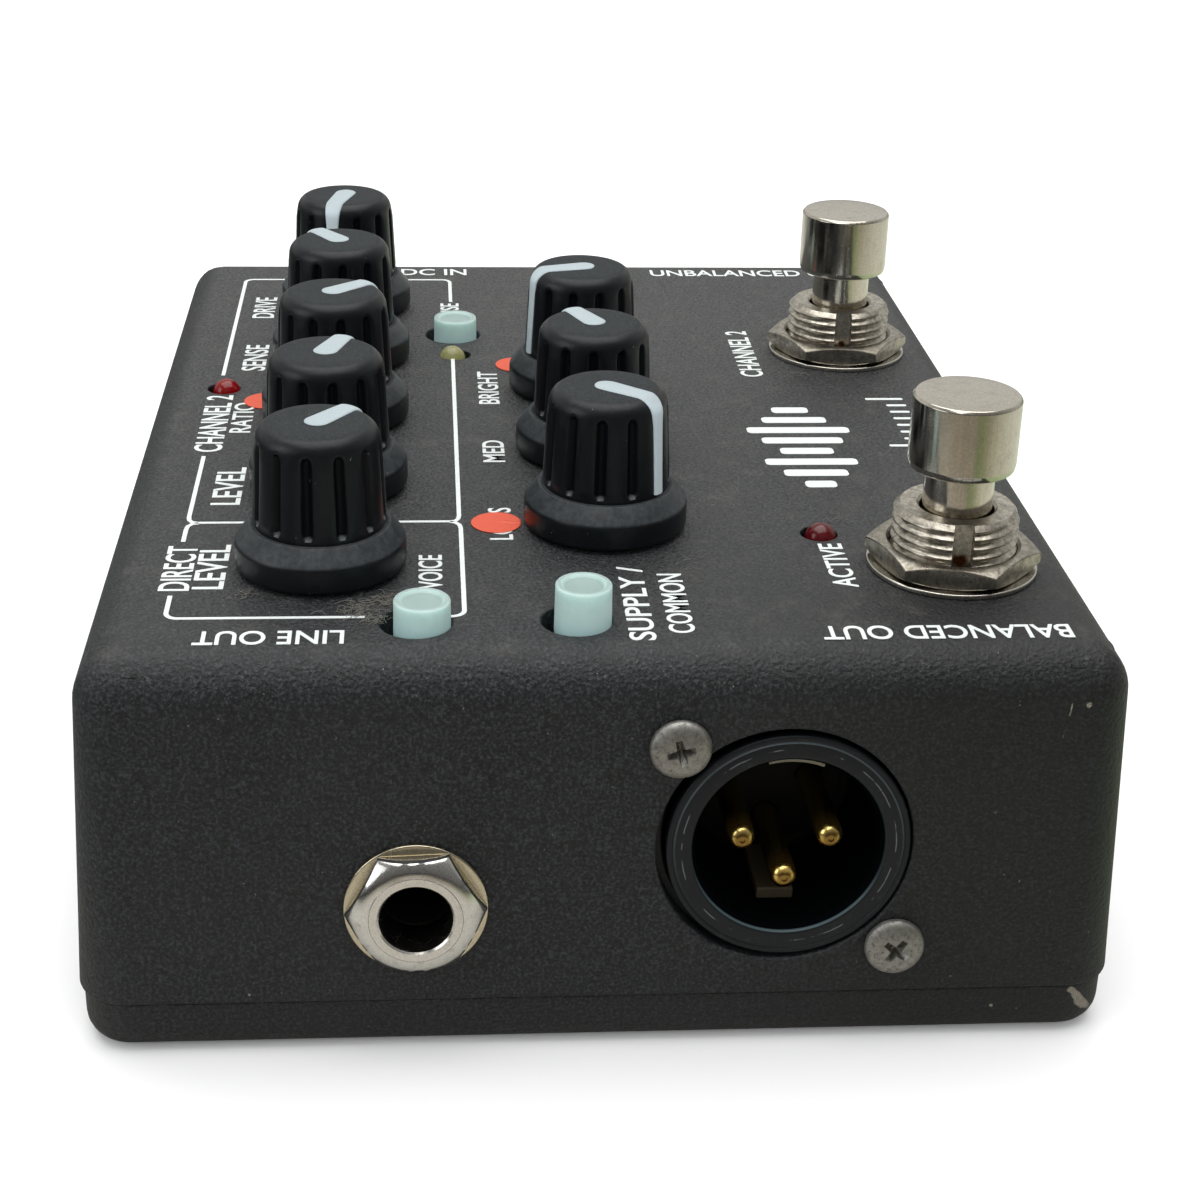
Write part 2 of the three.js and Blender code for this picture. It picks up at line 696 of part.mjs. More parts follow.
function addCircuitBoard() {
  let board = solid(prism(BOARD_OUTLINE, BOARD_Z, BOARD_TOP));
  // push button bodies, bored for the stems
  for (const [, x, y] of BUTTONS) {
    board = join(board, shift(block(6.8, 6.8, SUNK_Z, 32.6), x, y));
    board = carve(board, shift(rod(1.45, 29.5, 34, 12), x, y));
  }
  board = join(
    board,
    ...BLOCK_PARTS.map(([x, y, w, d, h]) => shift(block(w, d, SUNK_Z, BOARD_TOP + h), x, y)),
    ...ROUND_PARTS.map(([x, y]) => shift(rod(2.5, SUNK_Z, BOARD_TOP + 5, 12), x, y)),
  );
  add('circuit_board', geometryOf(board), MATERIALS.board);
}

// ---------------------------------------------------------------- battery

const BATTERY_END = 22; // X of the end with the terminals
const BATTERY_Z = BASE_FLOOR + 0.1;
const BATTERY_H = 17;
const BATTERY_AXIS_Z = BATTERY_Z + BATTERY_H / 2;
const TERMINALS = [[2.9, -6.35], [3.5, 6.35]]; // radius, y
const TERMINAL_GAP = 0.4; // radial, in the snap
const SNAP_H = 13.2;

// A rod along X at the battery's mid height; x0 and x1 are measured from the terminal end.
const terminalRod = (r, x0, x1, y) =>
  rod(r, x0, x1, 12).rotateY(Math.PI / 2).translate(BATTERY_END, y, BATTERY_AXIS_Z);

function addBattery() {
  const battery = join(
    solid(box(-24.2, BATTERY_END, -13.2, 13.2, BATTERY_Z, BATTERY_Z + BATTERY_H)),
    ...TERMINALS.map(([r, y]) => terminalRod(r, -0.3, 2.3, y)),
  );
  add('battery', geometryOf(battery), MATERIALS.battery);

  const snapBottom = BATTERY_AXIS_Z - SNAP_H / 2;
  const snap = carve(
    solid(box(BATTERY_END + 0.1, 26, -12.6, 12.6, snapBottom, snapBottom + SNAP_H)),
    ...TERMINALS.map(([r, y]) => terminalRod(r + TERMINAL_GAP, -2, 2.7, y)),
  );
  add('battery_snap', geometryOf(snap), MATERIALS.black);
}

// ---------------------------------------------------------------- assembly

addEnclosure();
addBasePlate();
addBaseScrews();
KNOBS.forEach(addRotaryControl);
FOOT_SWITCHES.forEach(addFootSwitch);
BUTTONS.forEach(addPushButton);
LAMPS.forEach(addLamp);
JACKS.forEach(addJack);
addDcInlet();
addBalancedOutput();
addCircuitBoard();
addBattery();

export default group;
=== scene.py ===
import math
import random

import bmesh
import bpy
import numpy as np
from mathutils import Matrix, Vector


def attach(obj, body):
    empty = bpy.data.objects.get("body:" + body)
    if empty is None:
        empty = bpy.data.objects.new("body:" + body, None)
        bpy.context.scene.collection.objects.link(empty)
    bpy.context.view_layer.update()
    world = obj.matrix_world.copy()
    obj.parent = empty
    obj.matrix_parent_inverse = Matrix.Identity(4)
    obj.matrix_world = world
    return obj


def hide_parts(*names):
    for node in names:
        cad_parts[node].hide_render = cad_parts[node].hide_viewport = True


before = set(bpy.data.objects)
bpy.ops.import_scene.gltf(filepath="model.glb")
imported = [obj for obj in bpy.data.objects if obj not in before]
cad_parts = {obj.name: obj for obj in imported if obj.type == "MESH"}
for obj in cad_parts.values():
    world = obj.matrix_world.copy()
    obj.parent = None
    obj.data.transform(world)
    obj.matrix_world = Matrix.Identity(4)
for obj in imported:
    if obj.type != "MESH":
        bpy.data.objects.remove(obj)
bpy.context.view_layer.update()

# ------------------------------------------------------------------ dimensions, in millimetres

MM = 0.001  # one millimetre in metres

LENGTH, DEPTH = 119.5, 94.0  # widest outline, in X and Y
TOP = 38.38  # height of the panel
PARTING = 5.42  # height of the joint between cover and base plate
DRAFT = math.radians(2.94)  # lean of the walls
PLAN_R, TOP_FILLET = 4.8, 4.6
WALL, ROOF = 2.2, 2.3
ROOF_UNDER = TOP - ROOF
BASE_INSET, BASE_FILLET, BASE_FLOOR = 0.39, 2.48, 2.2
POST_X, POST_Y, POST_R = 53.0, 40.3, 4.2
POSTS = [(side_x * POST_X, side_y * POST_Y) for side_x in (-1, 1) for side_y in (-1, 1)]

# name, x, y, degrees the pointer is turned, pointer start measured from the knob's axis
KNOBS = [
    ("clean_level", -37.85, 25.15, -38.0, -1.12),
    ("drive_level", -18.8, 25.15, -21.0, -1.12),
    ("blend", 0.25, 25.15, -49.5, -1.12),
    ("trigger", 19.3, 25.15, 36.0, -1.12),
    ("gain", 38.35, 25.15, 167.0, -1.9),
    ("bass", -28.9, -1.55, -130.0, -1.35),
    ("mid", -9.9, -1.55, 26.0, -1.12),
    ("treble", 9.15, -1.55, 107.0, -1.4),
]
# name, x, y, degrees the nut is turned, bearing of the keyway in degrees
FOOT_SWITCHES = [
    ("effect", -39.1, -33.0, 16.0, 175.0),
    ("distortion", 21.35, -32.65, 24.0, 176.0),
]
# name, x, y, height above the panel, then x, y and radius of the hole
BUTTONS = [
    ("colour", -50.3, 15.95, 2.25, -50.2, 16.5, 3.15),
    ("ground_lift", -50.2, 1.97, 3.58, -50.1, 2.5, 3.1),
    ("gate", 27.05, 12.0, 2.25, 27.15, 12.3, 3.15),
]
# name, x, y, offset of the hole in x and y, lens colour
LAMPS = [
    ("drive", 8.65, 37.4, 0.0, 0.30, "red"),
    ("gate", 19.75, 12.44, 0.1, -0.32, "amber"),
    ("effect", -31.9, -22.0, 0.08, 0.16, "dark_red"),
]
# name, side of the wall in X, y
JACKS = [("output", -1, 16.7), ("input", 1, 28.8), ("parallel", 1, -27.2)]
JACK_Z = 15.05
DC_Y, DC_Z = 14.3, 15.05

# Balanced connector; the places of screws and pins are in the plane of its wall
XLR_Y, XLR_Z = -16.0, 20.25
XLR_HOLE = (-15.62, 20.37)
XLR_SCREW = 9.97
XLR_SCREWS = [(-XLR_SCREW, XLR_SCREW), (XLR_SCREW, -XLR_SCREW)]
XLR_PIN = 3.95
XLR_PINS = [(-XLR_PIN, 0), (XLR_PIN, 0), (0, -XLR_PIN)]


# ------------------------------------------------------------------ mesh helpers
# A part is a pair of lists, vertices and faces.

def clamp(value):
    return min(1.0, max(0.0, value))


def polar(radius, angle, z):
    return radius * math.cos(angle), radius * math.sin(angle), z


def translation(x, y, z=0.0):
    matrix = np.eye(4)
    matrix[:3, 3] = (x, y, z)
    return matrix


def turn_z(degrees):
    angle = math.radians(degrees)
    matrix = np.eye(4)
    matrix[0, :2] = math.cos(angle), -math.sin(angle)
    matrix[1, :2] = math.sin(angle), math.cos(angle)
    return matrix


def wall_frame(side, y, z):
    """Local +Z leaves the side wall, local +Y runs up it."""
    cos, sin = math.cos(DRAFT), math.sin(DRAFT)
    matrix = np.eye(4)
    matrix[:3, 0] = (0, side, 0)
    matrix[:3, 1] = (-side * sin, 0, cos)
    matrix[:3, 2] = (side * cos, 0, sin)
    matrix[:3, 3] = (side * (LENGTH / 2 - wall_inset(z)), y, z)
    return matrix


def wall_inset(z):
    return (z - PARTING) * math.tan(DRAFT)


def moved(verts, matrix):
    return np.asarray(verts, float) @ matrix[:3, :3].T + matrix[:3, 3]


def placed(part, matrix):
    return moved(part[0], matrix), part[1]


def fillet(points, loop=False):
    """Rounds an outline. A point is (a, b), (a, b, radius) or (a, b, radius, steps)."""
    out = []
    count = len(points)
    for i, point in enumerate(points):
        radius = point[2] if len(point) > 2 else 0
        steps = point[3] if len(point) > 3 else 4
        corner = np.array(point[:2], float)
        if radius <= 0 or (not loop and i in (0, count - 1)):
            out.append(tuple(corner))
            continue
        back = np.array(points[i - 1][:2], float) - corner
        ahead = np.array(points[(i + 1) % count][:2], float) - corner
        back_len, ahead_len = np.linalg.norm(back), np.linalg.norm(ahead)
        back, ahead = back / back_len, ahead / ahead_len
        half = math.acos(float(np.clip(back @ ahead, -1, 1))) / 2
        if half > math.pi / 2 - 1e-3:  # nearly straight
            out.append(tuple(corner))
            continue
        cut = min(radius / math.tan(half), back_len * 0.49, ahead_len * 0.49)
        fitted = cut * math.tan(half)
        middle = (back + ahead) / np.linalg.norm(back + ahead)
        centre = corner + middle * (fitted / math.sin(half))
        first, last = corner + back * cut - centre, corner + ahead * cut - centre
        start = math.atan2(first[1], first[0])
        sweep = math.atan2(last[1], last[0]) - start
        sweep = (sweep + math.pi) % (2 * math.pi) - math.pi
        for j in range(steps + 1):
            out.append(tuple(centre + polar(fitted, start + sweep * j / steps, 0)[:2]))
    return out


def lathe(profile, segments=64, loop=False):
    """Turns (radius, z) stations about Z. A radius of zero becomes a single point."""
    verts, rings = [], []
    for radius, z in profile:
        if abs(radius) < 1e-6:
            rings.append([len(verts)])
            verts.append((0.0, 0.0, z))
        else:
            rings.append(list(range(len(verts), len(verts) + segments)))
            verts += [polar(radius, 2 * math.pi * i / segments, z) for i in range(segments)]
    faces = []
    pairs = list(zip(rings, rings[1:])) + ([(rings[-1], rings[0])] if loop else [])
    for low, high in pairs:
        for i in range(segments):
            j = (i + 1) % segments
            if len(low) == 1:
                faces.append((low[0], high[j], high[i]))
            elif len(high) == 1:
                faces.append((low[i], low[j], high[0]))
            else:
                faces.append((low[i], low[j], high[j], high[i]))
    return verts, faces


def sheet(rows, cap_start=None, cap_end=None, loop=False):
    """Joins closed rows of equal length. A cap is "ngon", or the centre point of a fan."""
    rows = [list(map(tuple, row)) for row in rows]
    width, count = len(rows[0]), len(rows)
    verts = [point for row in rows for point in row]
    faces = []
    for j in range(count if loop else count - 1):
        low, high = j * width, ((j + 1) % count) * width
        for i in range(width):
            k = (i + 1) % width
            faces.append((low + i, low + k, high + k, high + i))
    last = (count - 1) * width
    for cap, edge in (
        (cap_start, list(reversed(range(width)))),
        (cap_end, list(range(last, last + width))),
    ):
        if cap is None:
            continue
        if isinstance(cap, str):
            faces.append(tuple(edge))
        else:
            verts.append(tuple(cap))
            centre = len(verts) - 1
            faces += [(edge[i], edge[(i + 1) % width], centre) for i in range(width)]
    return verts, faces


def merge(*parts):
    verts, faces = [], []
    for part_verts, part_faces in parts:
        base = len(verts)
        verts += [tuple(point) for point in part_verts]
        faces += [tuple(i + base for i in face) for face in part_faces]
    return verts, faces


def block(x0, x1, y0, y1, z0, z1):
    verts = [(x, y, z) for z in (z0, z1) for y in (y0, y1) for x in (x0, x1)]
    faces = [(0, 2, 3, 1), (4, 5, 7, 6), (0, 1, 5, 4), (2, 6, 7, 3), (0, 4, 6, 2), (1, 3, 7, 5)]
    return verts, faces


def mesh_from(part, matrix=None, weld=0.0):
    verts, faces = part
    points = np.asarray(verts, float)
    if matrix is not None:
        points = moved(points, matrix)
    mesh = bpy.data.meshes.new("part")
    mesh.from_pydata([tuple(point) for point in points * MM], [], [tuple(f) for f in faces])
    work = bmesh.new()
    work.from_mesh(mesh)
    if weld:
        bmesh.ops.remove_doubles(work, verts=work.verts, dist=weld * MM)
        bmesh.ops.dissolve_degenerate(work, edges=work.edges, dist=1e-9)
    bmesh.ops.recalc_face_normals(work, faces=work.faces)
    work.to_mesh(mesh)
    work.free()
    return mesh


def shift(mesh, matrix):
    """Moves a finished mesh by a matrix given in millimetres."""
    metric = matrix.copy()
    metric[:3, 3] *= MM
    mesh.transform(Matrix(metric.tolist()))


def linked(name, data):
    obj = bpy.data.objects.new(name, data)
    bpy.context.scene.collection.objects.link(obj)
    return obj


def evaluated(obj):
    bpy.context.view_layer.update()
    graph = bpy.context.evaluated_depsgraph_get()
    return bpy.data.meshes.new_from_object(obj.evaluated_get(graph))


def boolean(mesh, part, operation="DIFFERENCE", matrix=None):
    """Applies closed shapes that don't touch each other to a mesh."""
    target = linked("tmp_a", mesh)
    cutter_mesh = mesh_from(part, matrix)
    cutter = linked("tmp_b", cutter_mesh)
    mod = target.modifiers.new("b", "BOOLEAN")
    mod.operation, mod.solver, mod.object = operation, "EXACT", cutter
    out = evaluated(target)
    bpy.data.objects.remove(target)
    bpy.data.objects.remove(cutter)
    bpy.data.meshes.remove(cutter_mesh)
    return out


def bevelled(mesh, width, segments):
    obj = linked("tmp", mesh)
    mod = obj.modifiers.new("b", "BEVEL")
    mod.width, mod.segments, mod.limit_method = width * MM, segments, "ANGLE"
    mod.angle_limit = math.radians(30)
    out = evaluated(obj)
    bpy.data.objects.remove(obj)
    return out


def piece(name, mesh, material, slot, *stands_for, body="housing", sharp=40, weighted=True):
    """A shown piece; stands_for names the CAD pieces it replaces, sharp is in degrees."""
    mesh.name = name
    mesh.materials.clear()
    mesh.materials.append(MATS[material])
    mesh.shade_smooth()
    if sharp:
        mesh.set_sharp_from_angle(angle=math.radians(sharp))
    obj = linked(name, mesh)
    if weighted:
        mod = obj.modifiers.new("normals", "WEIGHTED_NORMAL")
        mod.keep_sharp = True
        mod.weight = 60
    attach(obj, body)
    if stands_for:
        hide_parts(*stands_for)


# ------------------------------------------------------------------ shader helpers

class Field:
    """The output of a shader node. Arithmetic on it adds Math nodes."""

    def __init__(self, graph, socket):
        self.graph, self.socket = graph, socket

    def __add__(self, other):
        return self.graph.math("ADD", self, other)

    def __mul__(self, other):
        return self.graph.math("MULTIPLY", self, other)

    def __sub__(self, other):
        return self.graph.math("SUBTRACT", self, other)

    def __rsub__(self, other):
        return self.graph.math("SUBTRACT", other, self)

    def abs(self):
        return self.graph.math("ABSOLUTE", self)

    def sqrt(self):
        return self.graph.math("SQRT", self)

    def step(self, low, high, start=0.0, to=1.0):
        """Smooth change from start, where the field is at low, to its end, at high."""
        inputs = {0: self, 1: low, 2: high, 3: start, 4: to}
        kind = "ShaderNodeMapRange"
        return self.graph.out(kind, 0, inputs, interpolation_type="SMOOTHSTEP")

    def fade(self, low, high, start=1.0):
        """Smooth fall from start to zero between low and high."""
        return self.step(low, high, start, 0.0)

    def level(self, low, high):
        """Number between low, where the field is 0, and high, where it is 1."""
        return self.graph.out("ShaderNodeMix", 0, {0: self, 2: low, 3: high}, data_type="FLOAT")

    def tint(self, low, high):
        """Colour between low, where the field is 0, and high, where it is 1."""
        return self.graph.mix(self, low, high)

    def ramp(self, *stops):
        """Colour ramp through stops of (position, colour)."""
        node = self.graph.node("ShaderNodeValToRGB", {0: self})
        elements = node.color_ramp.elements
        while len(elements) > 1:
            elements.remove(elements[-1])
        elements[0].position, elements[0].color = stops[0][0], (*stops[0][1], 1)
        for position, color in stops[1:]:
            elements.new(position).color = (*color, 1)
        return Field(self.graph, node.outputs[0])


def feed(socket, value):
    """Links a field to a socket, or sets the socket's value."""
    if isinstance(value, Field):
        value.graph.tree.links.new(value.socket, socket)
    elif isinstance(value, tuple) and len(value) == 3 and socket.type == "RGBA":
        socket.default_value = (*value, 1.0)
    else:
        socket.default_value = value


class Graph:
    def __init__(self, tree):
        self.tree = tree
        tree.nodes.clear()

    def node(self, kind, inputs=(), **settings):
        node = self.tree.nodes.new(kind)
        for key, value in settings.items():
            setattr(node, key, value)
        for key, value in dict(inputs).items():
            feed(node.inputs[key], value)
        return node

    def out(self, kind, output, inputs=(), **settings):
        return Field(self, self.node(kind, inputs, **settings).outputs[output])

    def split(self, vector):
        node = self.node("ShaderNodeSeparateXYZ", {0: vector})
        return [Field(self, socket) for socket in node.outputs]

    def math(self, operation, first, second=0.0, third=None, clamped=False):
        inputs = {0: first, 1: second}
        if third is not None:
            inputs[2] = third
        return self.out("ShaderNodeMath", 0, inputs, operation=operation, use_clamp=clamped)

    def vector(self, operation, inputs, output="Vector"):
        return self.out("ShaderNodeVectorMath", output, inputs, operation=operation)

    def mix(self, factor, low, high, mode="MIX"):
        inputs = {0: factor, 6: low, 7: high}
        return self.out("ShaderNodeMix", 2, inputs, data_type="RGBA", blend_type=mode)


class Mat(Graph):
    """A Principled material whose textures lie in object space, in millimetres."""

    INPUTS = {
        "color": "Base Color", "rough": "Roughness", "metal": "Metallic", "normal": "Normal",
        "ior": "IOR", "spec": "Specular IOR Level", "coat": "Coat Weight",
        "coat_rough": "Coat Roughness", "trans": "Transmission Weight",
        "sss": "Subsurface Weight", "sss_scale": "Subsurface Scale",
        "sss_radius": "Subsurface Radius", "emit": "Emission Color",
        "emit_strength": "Emission Strength",
    }

    def __init__(self, name):
        self.material = bpy.data.materials.new(name)
        self.material.use_nodes = True
        super().__init__(self.material.node_tree)
        output = self.node("ShaderNodeOutputMaterial")
        self.shader = self.node("ShaderNodeBsdfPrincipled")
        self.tree.links.new(self.shader.outputs[0], output.inputs[0])
        place = self.out("ShaderNodeTexCoord", "Object")
        self.pos = self.vector("SCALE", {0: place, "Scale": 1000.0})
        self.color = None
        self._xyz = self._up = None

    @property
    def xyz(self):
        if self._xyz is None:
            self._xyz = self.split(self.pos)
        return self._xyz

    @property
    def up(self):
        """How far the surface faces up, -1 to 1."""
        if self._up is None:
            self._up = self.split(self.out("ShaderNodeNewGeometry", "Normal"))[2]
        return self._up

    def noise(self, scale, detail=3.0, rough=0.55, stretch=None):
        place = self.vector("MULTIPLY", {0: self.pos, 1: stretch}) if stretch else self.pos
        inputs = {"Vector": place, "Scale": scale, "Detail": detail, "Roughness": rough}
        return self.out("ShaderNodeTexNoise", "Fac", inputs)

    def voronoi(self, scale, feature="F1"):
        inputs = {"Vector": self.pos, "Scale": scale}
        return self.out("ShaderNodeTexVoronoi", "Distance", inputs, feature=feature)

    def ragged(self, distance, radius, soft, wobble, scale):
        """1 within radius, falling to 0 over soft; noise of this scale wobbles the edge."""
        uneven = distance + (self.noise(scale, detail=4) - 0.5) * (wobble * 2)
        return uneven.fade(radius, radius + soft)

    def near(self, point, *edge):
        """Mask round a point; edge is passed on to ragged."""
        offset = self.vector("SUBTRACT", {0: self.pos, 1: point})
        offset = self.vector("MULTIPLY", {0: offset, 1: (1, 1, 1)})  # equal in all directions
        return self.ragged(self.vector("LENGTH", {0: offset}, "Value"), *edge)

    def along(self, start, end, *edge):
        """Mask along a segment; edge is passed on to ragged."""
        start = Vector(start)
        run = Vector(end) - start
        offset = self.vector("SUBTRACT", {0: self.pos, 1: start})
        dot = self.vector("DOT_PRODUCT", {0: offset, 1: run / run.length_squared}, "Value")
        share = self.math("ADD", dot, 0.0, clamped=True)
        closest = self.vector("SCALE", {0: run, "Scale": share})
        distance = self.vector("DISTANCE", {0: offset, 1: closest}, "Value")
        return self.ragged(distance, *edge)

    def most(self, masks):
        top = masks[0]
        for mask in masks[1:]:
            top = self.math("MAXIMUM", top, mask)
        return top

    def bump(self, height, distance, strength, normal=None):
        """Height is in units of distance, which is in millimetres."""
        inputs = {"Strength": strength, "Distance": distance * MM, "Height": height}
        if normal is not None:
            inputs["Normal"] = normal
        return self.out("ShaderNodeBump", 0, inputs)

    def paint(self, color, mask):
        """Lays a colour over the present one where the mask is 1."""
        self.color = self.mix(mask, self.color, color)

    def finish(self, **inputs):
        for key, value in {"color": self.color, **inputs}.items():
            feed(self.shader.inputs[self.INPUTS[key]], value)
        return self.material


def srgb(*channels):
    """Linear colour from 0-255 sRGB."""
    def linear(value):
        value /= 255
        return value / 12.92 if value <= 0.04045 else ((value + 0.055) / 1.055) ** 2.4
    return tuple(linear(value) for value in channels)


def scaled(color, factor):
    return tuple(channel * factor for channel in color)


# ------------------------------------------------------------------ materials
# Noise and Voronoi scales are per millimetre. Edges of steps are thresholds of the field
# they are called on; the factors multiplying a mask are the strength of that layer.

# Chips in the coat, where bare metal shows. The last four numbers of a row are
# width or radius, softness, wobble and noise scale.
SHELL_STROKES = [
    ((-58.3, -39.8, 33.9), (-58.3, -39.68, 32.8), 0.03, 0.06, 0.05, 4.0),
    ((-58.3, -39.45, 31.9), (-58.4, -39.3, 30.7), 0.02, 0.06, 0.05, 4.0),
]
SHELL_SPOTS = [
    ((-58.25, -41.3, 33.8), 0.20, 0.10, 0.14, 3.0),
    ((-59.6, 31.5, 6.4), 0.12, 0.10, 0.09, 2.0),
    ((-44.0, -46.4, 12.0), 0.35, 0.15, 0.2, 2.0),
    ((41.0, 46.5, 9.0), 0.3, 0.15, 0.2, 2.0),
]
PLATE_STROKES = [
    ((-59.3, -42.9, 4.75), (-58.9, -45.2, 2.2), 0.30, 0.14, 0.34, 1.3),
    ((-59.2, -43.9, 3.4), (-58.4, -45.9, 1.5), 0.42, 0.16, 0.40, 1.1),
]
PLATE_SPOTS = [
    ((-59.36, -35.6, 3.3), 0.12, 0.09, 0.08, 2.0),
    ((-30.0, -46.4, 1.4), 0.3, 0.15, 0.2, 2.0),
    ((22.0, 46.4, 1.8), 0.35, 0.15, 0.2, 2.0),
    ((59.2, 12.0, 1.6), 0.35, 0.15, 0.2, 2.0),
]


def powder_coat(name, shade, strokes, spots):
    """Pebbled coat with lighter grains, dust, pale spots on the top fillet, chips, and painted
    light and shade over the top.
    """
    mat = Mat(name)
    x, y, z = mat.xyz
    grain = mat.noise(3.2, rough=0.6)
    fine = mat.noise(9.0, detail=2, rough=0.6)
    cloud = mat.noise(0.055, detail=4)
    cells = mat.voronoi(2.3)
    speckle = grain * 0.65 + fine * 0.35
    mat.color = speckle.ramp(
        (0.38, srgb(5 * shade, 6 * shade, 8 * shade)),
        (0.50, srgb(20 * shade, 22 * shade, 25 * shade)),
        (0.62, srgb(52 * shade, 54 * shade, 58 * shade)),
    )
    mat.paint(srgb(38 * shade, 39 * shade, 40 * shade), cloud.step(0.35, 0.7, to=0.18))
    # thin film of dust over the top, which also paints the top lighter as painted light;
    # thicker towards +X as a painted light falloff, and nearly absent at the -X -Y corner
    top_dust_and_light = mat.up.step(0.86, 1.0) * x.step(-75.0, 60.0, start=0.012, to=0.066)
    corner = x.step(-26.0, -50.0) * y.step(2.0, -34.0)
    top_dust_and_light = top_dust_and_light * (1.0 - corner * 0.9)
    mat.paint(srgb(138, 139, 136), top_dust_and_light * speckle.step(0.40, 0.57, start=0.10, to=1.9))
    # painted shadow, with some dirt, darkening the -X -Y corner round the effect switch
    mat.paint(srgb(8, 9, 10), corner * 0.5)
    # settled dust in patches on faces that look up
    patches = mat.noise(0.32, detail=5, rough=0.65)
    mat.paint(srgb(96, 93, 86), mat.up.step(0.7, 1.0) * patches.step(0.50, 0.85, to=0.34))
    flecks = mat.voronoi(0.85).fade(0.035, 0.07) * mat.noise(0.4, detail=2).step(0.5, 0.62)
    mat.paint(srgb(165, 160, 148), flecks * 0.5)
    # paler spots in a band round the top fillet
    band = z.step(TOP - 4.4, TOP - 1.6) * z.step(TOP - 0.1, TOP - 0.9)
    fillet_spots = band * mat.noise(1.6, detail=5, rough=0.7).step(0.60, 0.80)
    mat.paint(srgb(128, 125, 118), fillet_spots * 0.45)
    # upright scuffs on the walls
    streaks = mat.noise(0.9, detail=5, rough=0.75, stretch=(1, 1, 0.35))
    mat.paint(srgb(84, 83, 80), streaks.step(0.64, 0.82) * mat.up.step(0.9, 0.5) * 0.16)
    pebbles = grain * 0.7 + fine * 0.35 + cells * 0.5
    normal = mat.bump(pebbles, distance=0.17, strength=0.9)
    chips = [mat.along(*row) for row in strokes] + [mat.near(*row) for row in spots]
    chips = mat.most(chips)
    mat.paint(fine.ramp((0.35, srgb(112, 104, 94)), (0.65, srgb(178, 172, 160))), chips)
    normal = mat.bump(1.0 - chips, distance=0.06, strength=0.8, normal=normal)
    return mat.finish(rough=fine.level(0.40, 0.64), metal=chips * 0.6, normal=normal, spec=0.5)


def knob_plastic(name):
    mat = Mat(name)
    z, up = mat.xyz[2], mat.up
    fine = mat.noise(7.0, rough=0.6)
    mat.color = fine.ramp((0.3, srgb(5, 8, 12)), (0.7, srgb(13, 17, 22)))
    # dust, heavy on the flat top and lighter on slopes
    flat = up.step(0.86, 1.0)
    cloud = mat.noise(1.4, detail=6, rough=0.7)
    spotty = mat.noise(5.0, rough=0.7)
    on_top = flat * cloud.step(0.3, 0.7).level(0.34, 0.62)
    on_slope = up.step(0.3, 0.9, to=0.30) * cloud.step(0.35, 0.7)
    dust_tone = spotty.ramp((0.35, srgb(33, 38, 42)), (0.7, srgb(52, 57, 60)))
    mat.paint(dust_tone, mat.most([on_top, on_slope]))
    specks = mat.voronoi(1.6).fade(0.05, 0.085) * mat.noise(0.8, detail=2).step(0.56, 0.66)
    mat.paint(srgb(190, 186, 176), specks * 0.65)
    # painted highlights at the lower ends of the flutes, then dust on the skirt
    flute_end_highlight = z.step(TOP + 5.5, TOP + 5.1) * (z.step(TOP + 4.55, TOP + 4.7) * up.step(0.35, 0.75))
    mat.paint(srgb(112, 116, 118), flute_end_highlight * 0.55)
    skirt = z.step(TOP + 4.55, TOP + 4.25) * up.step(0.30, 0.62)
    mat.paint(srgb(82, 88, 92), skirt * cloud.step(0.3, 0.7).level(0.16, 0.40))
    grit = mat.noise(11.0, detail=2, rough=0.6).step(0.50, 0.68, to=0.22)
    mat.paint(srgb(120, 124, 120), flat * grit)
    # painted shade: the flutes are darker and duller the deeper they go
    flute_shade = mat.out("ShaderNodeAttribute", "Fac", attribute_name="flute_shade")
    mat.paint(srgb(2, 3, 4), flute_shade * 0.55)
    streaks = mat.noise(0.8, detail=5, rough=0.7, stretch=(1, 1, 0.25))
    streaks = streaks.step(0.58, 0.8) * up.step(0.6, 0.1)
    mat.paint(srgb(84, 83, 80), streaks * 0.10)
    dull = mat.most([flat, streaks * 0.5])
    return mat.finish(
        rough=dull.level(fine.level(0.30, 0.42), 0.78),
        normal=mat.bump(fine + spotty * 0.5, distance=0.024, strength=0.6),
        spec=up.step(0.2, 0.95, start=0.42, to=0.30) * (1.0 - flute_shade * 0.55),
    )


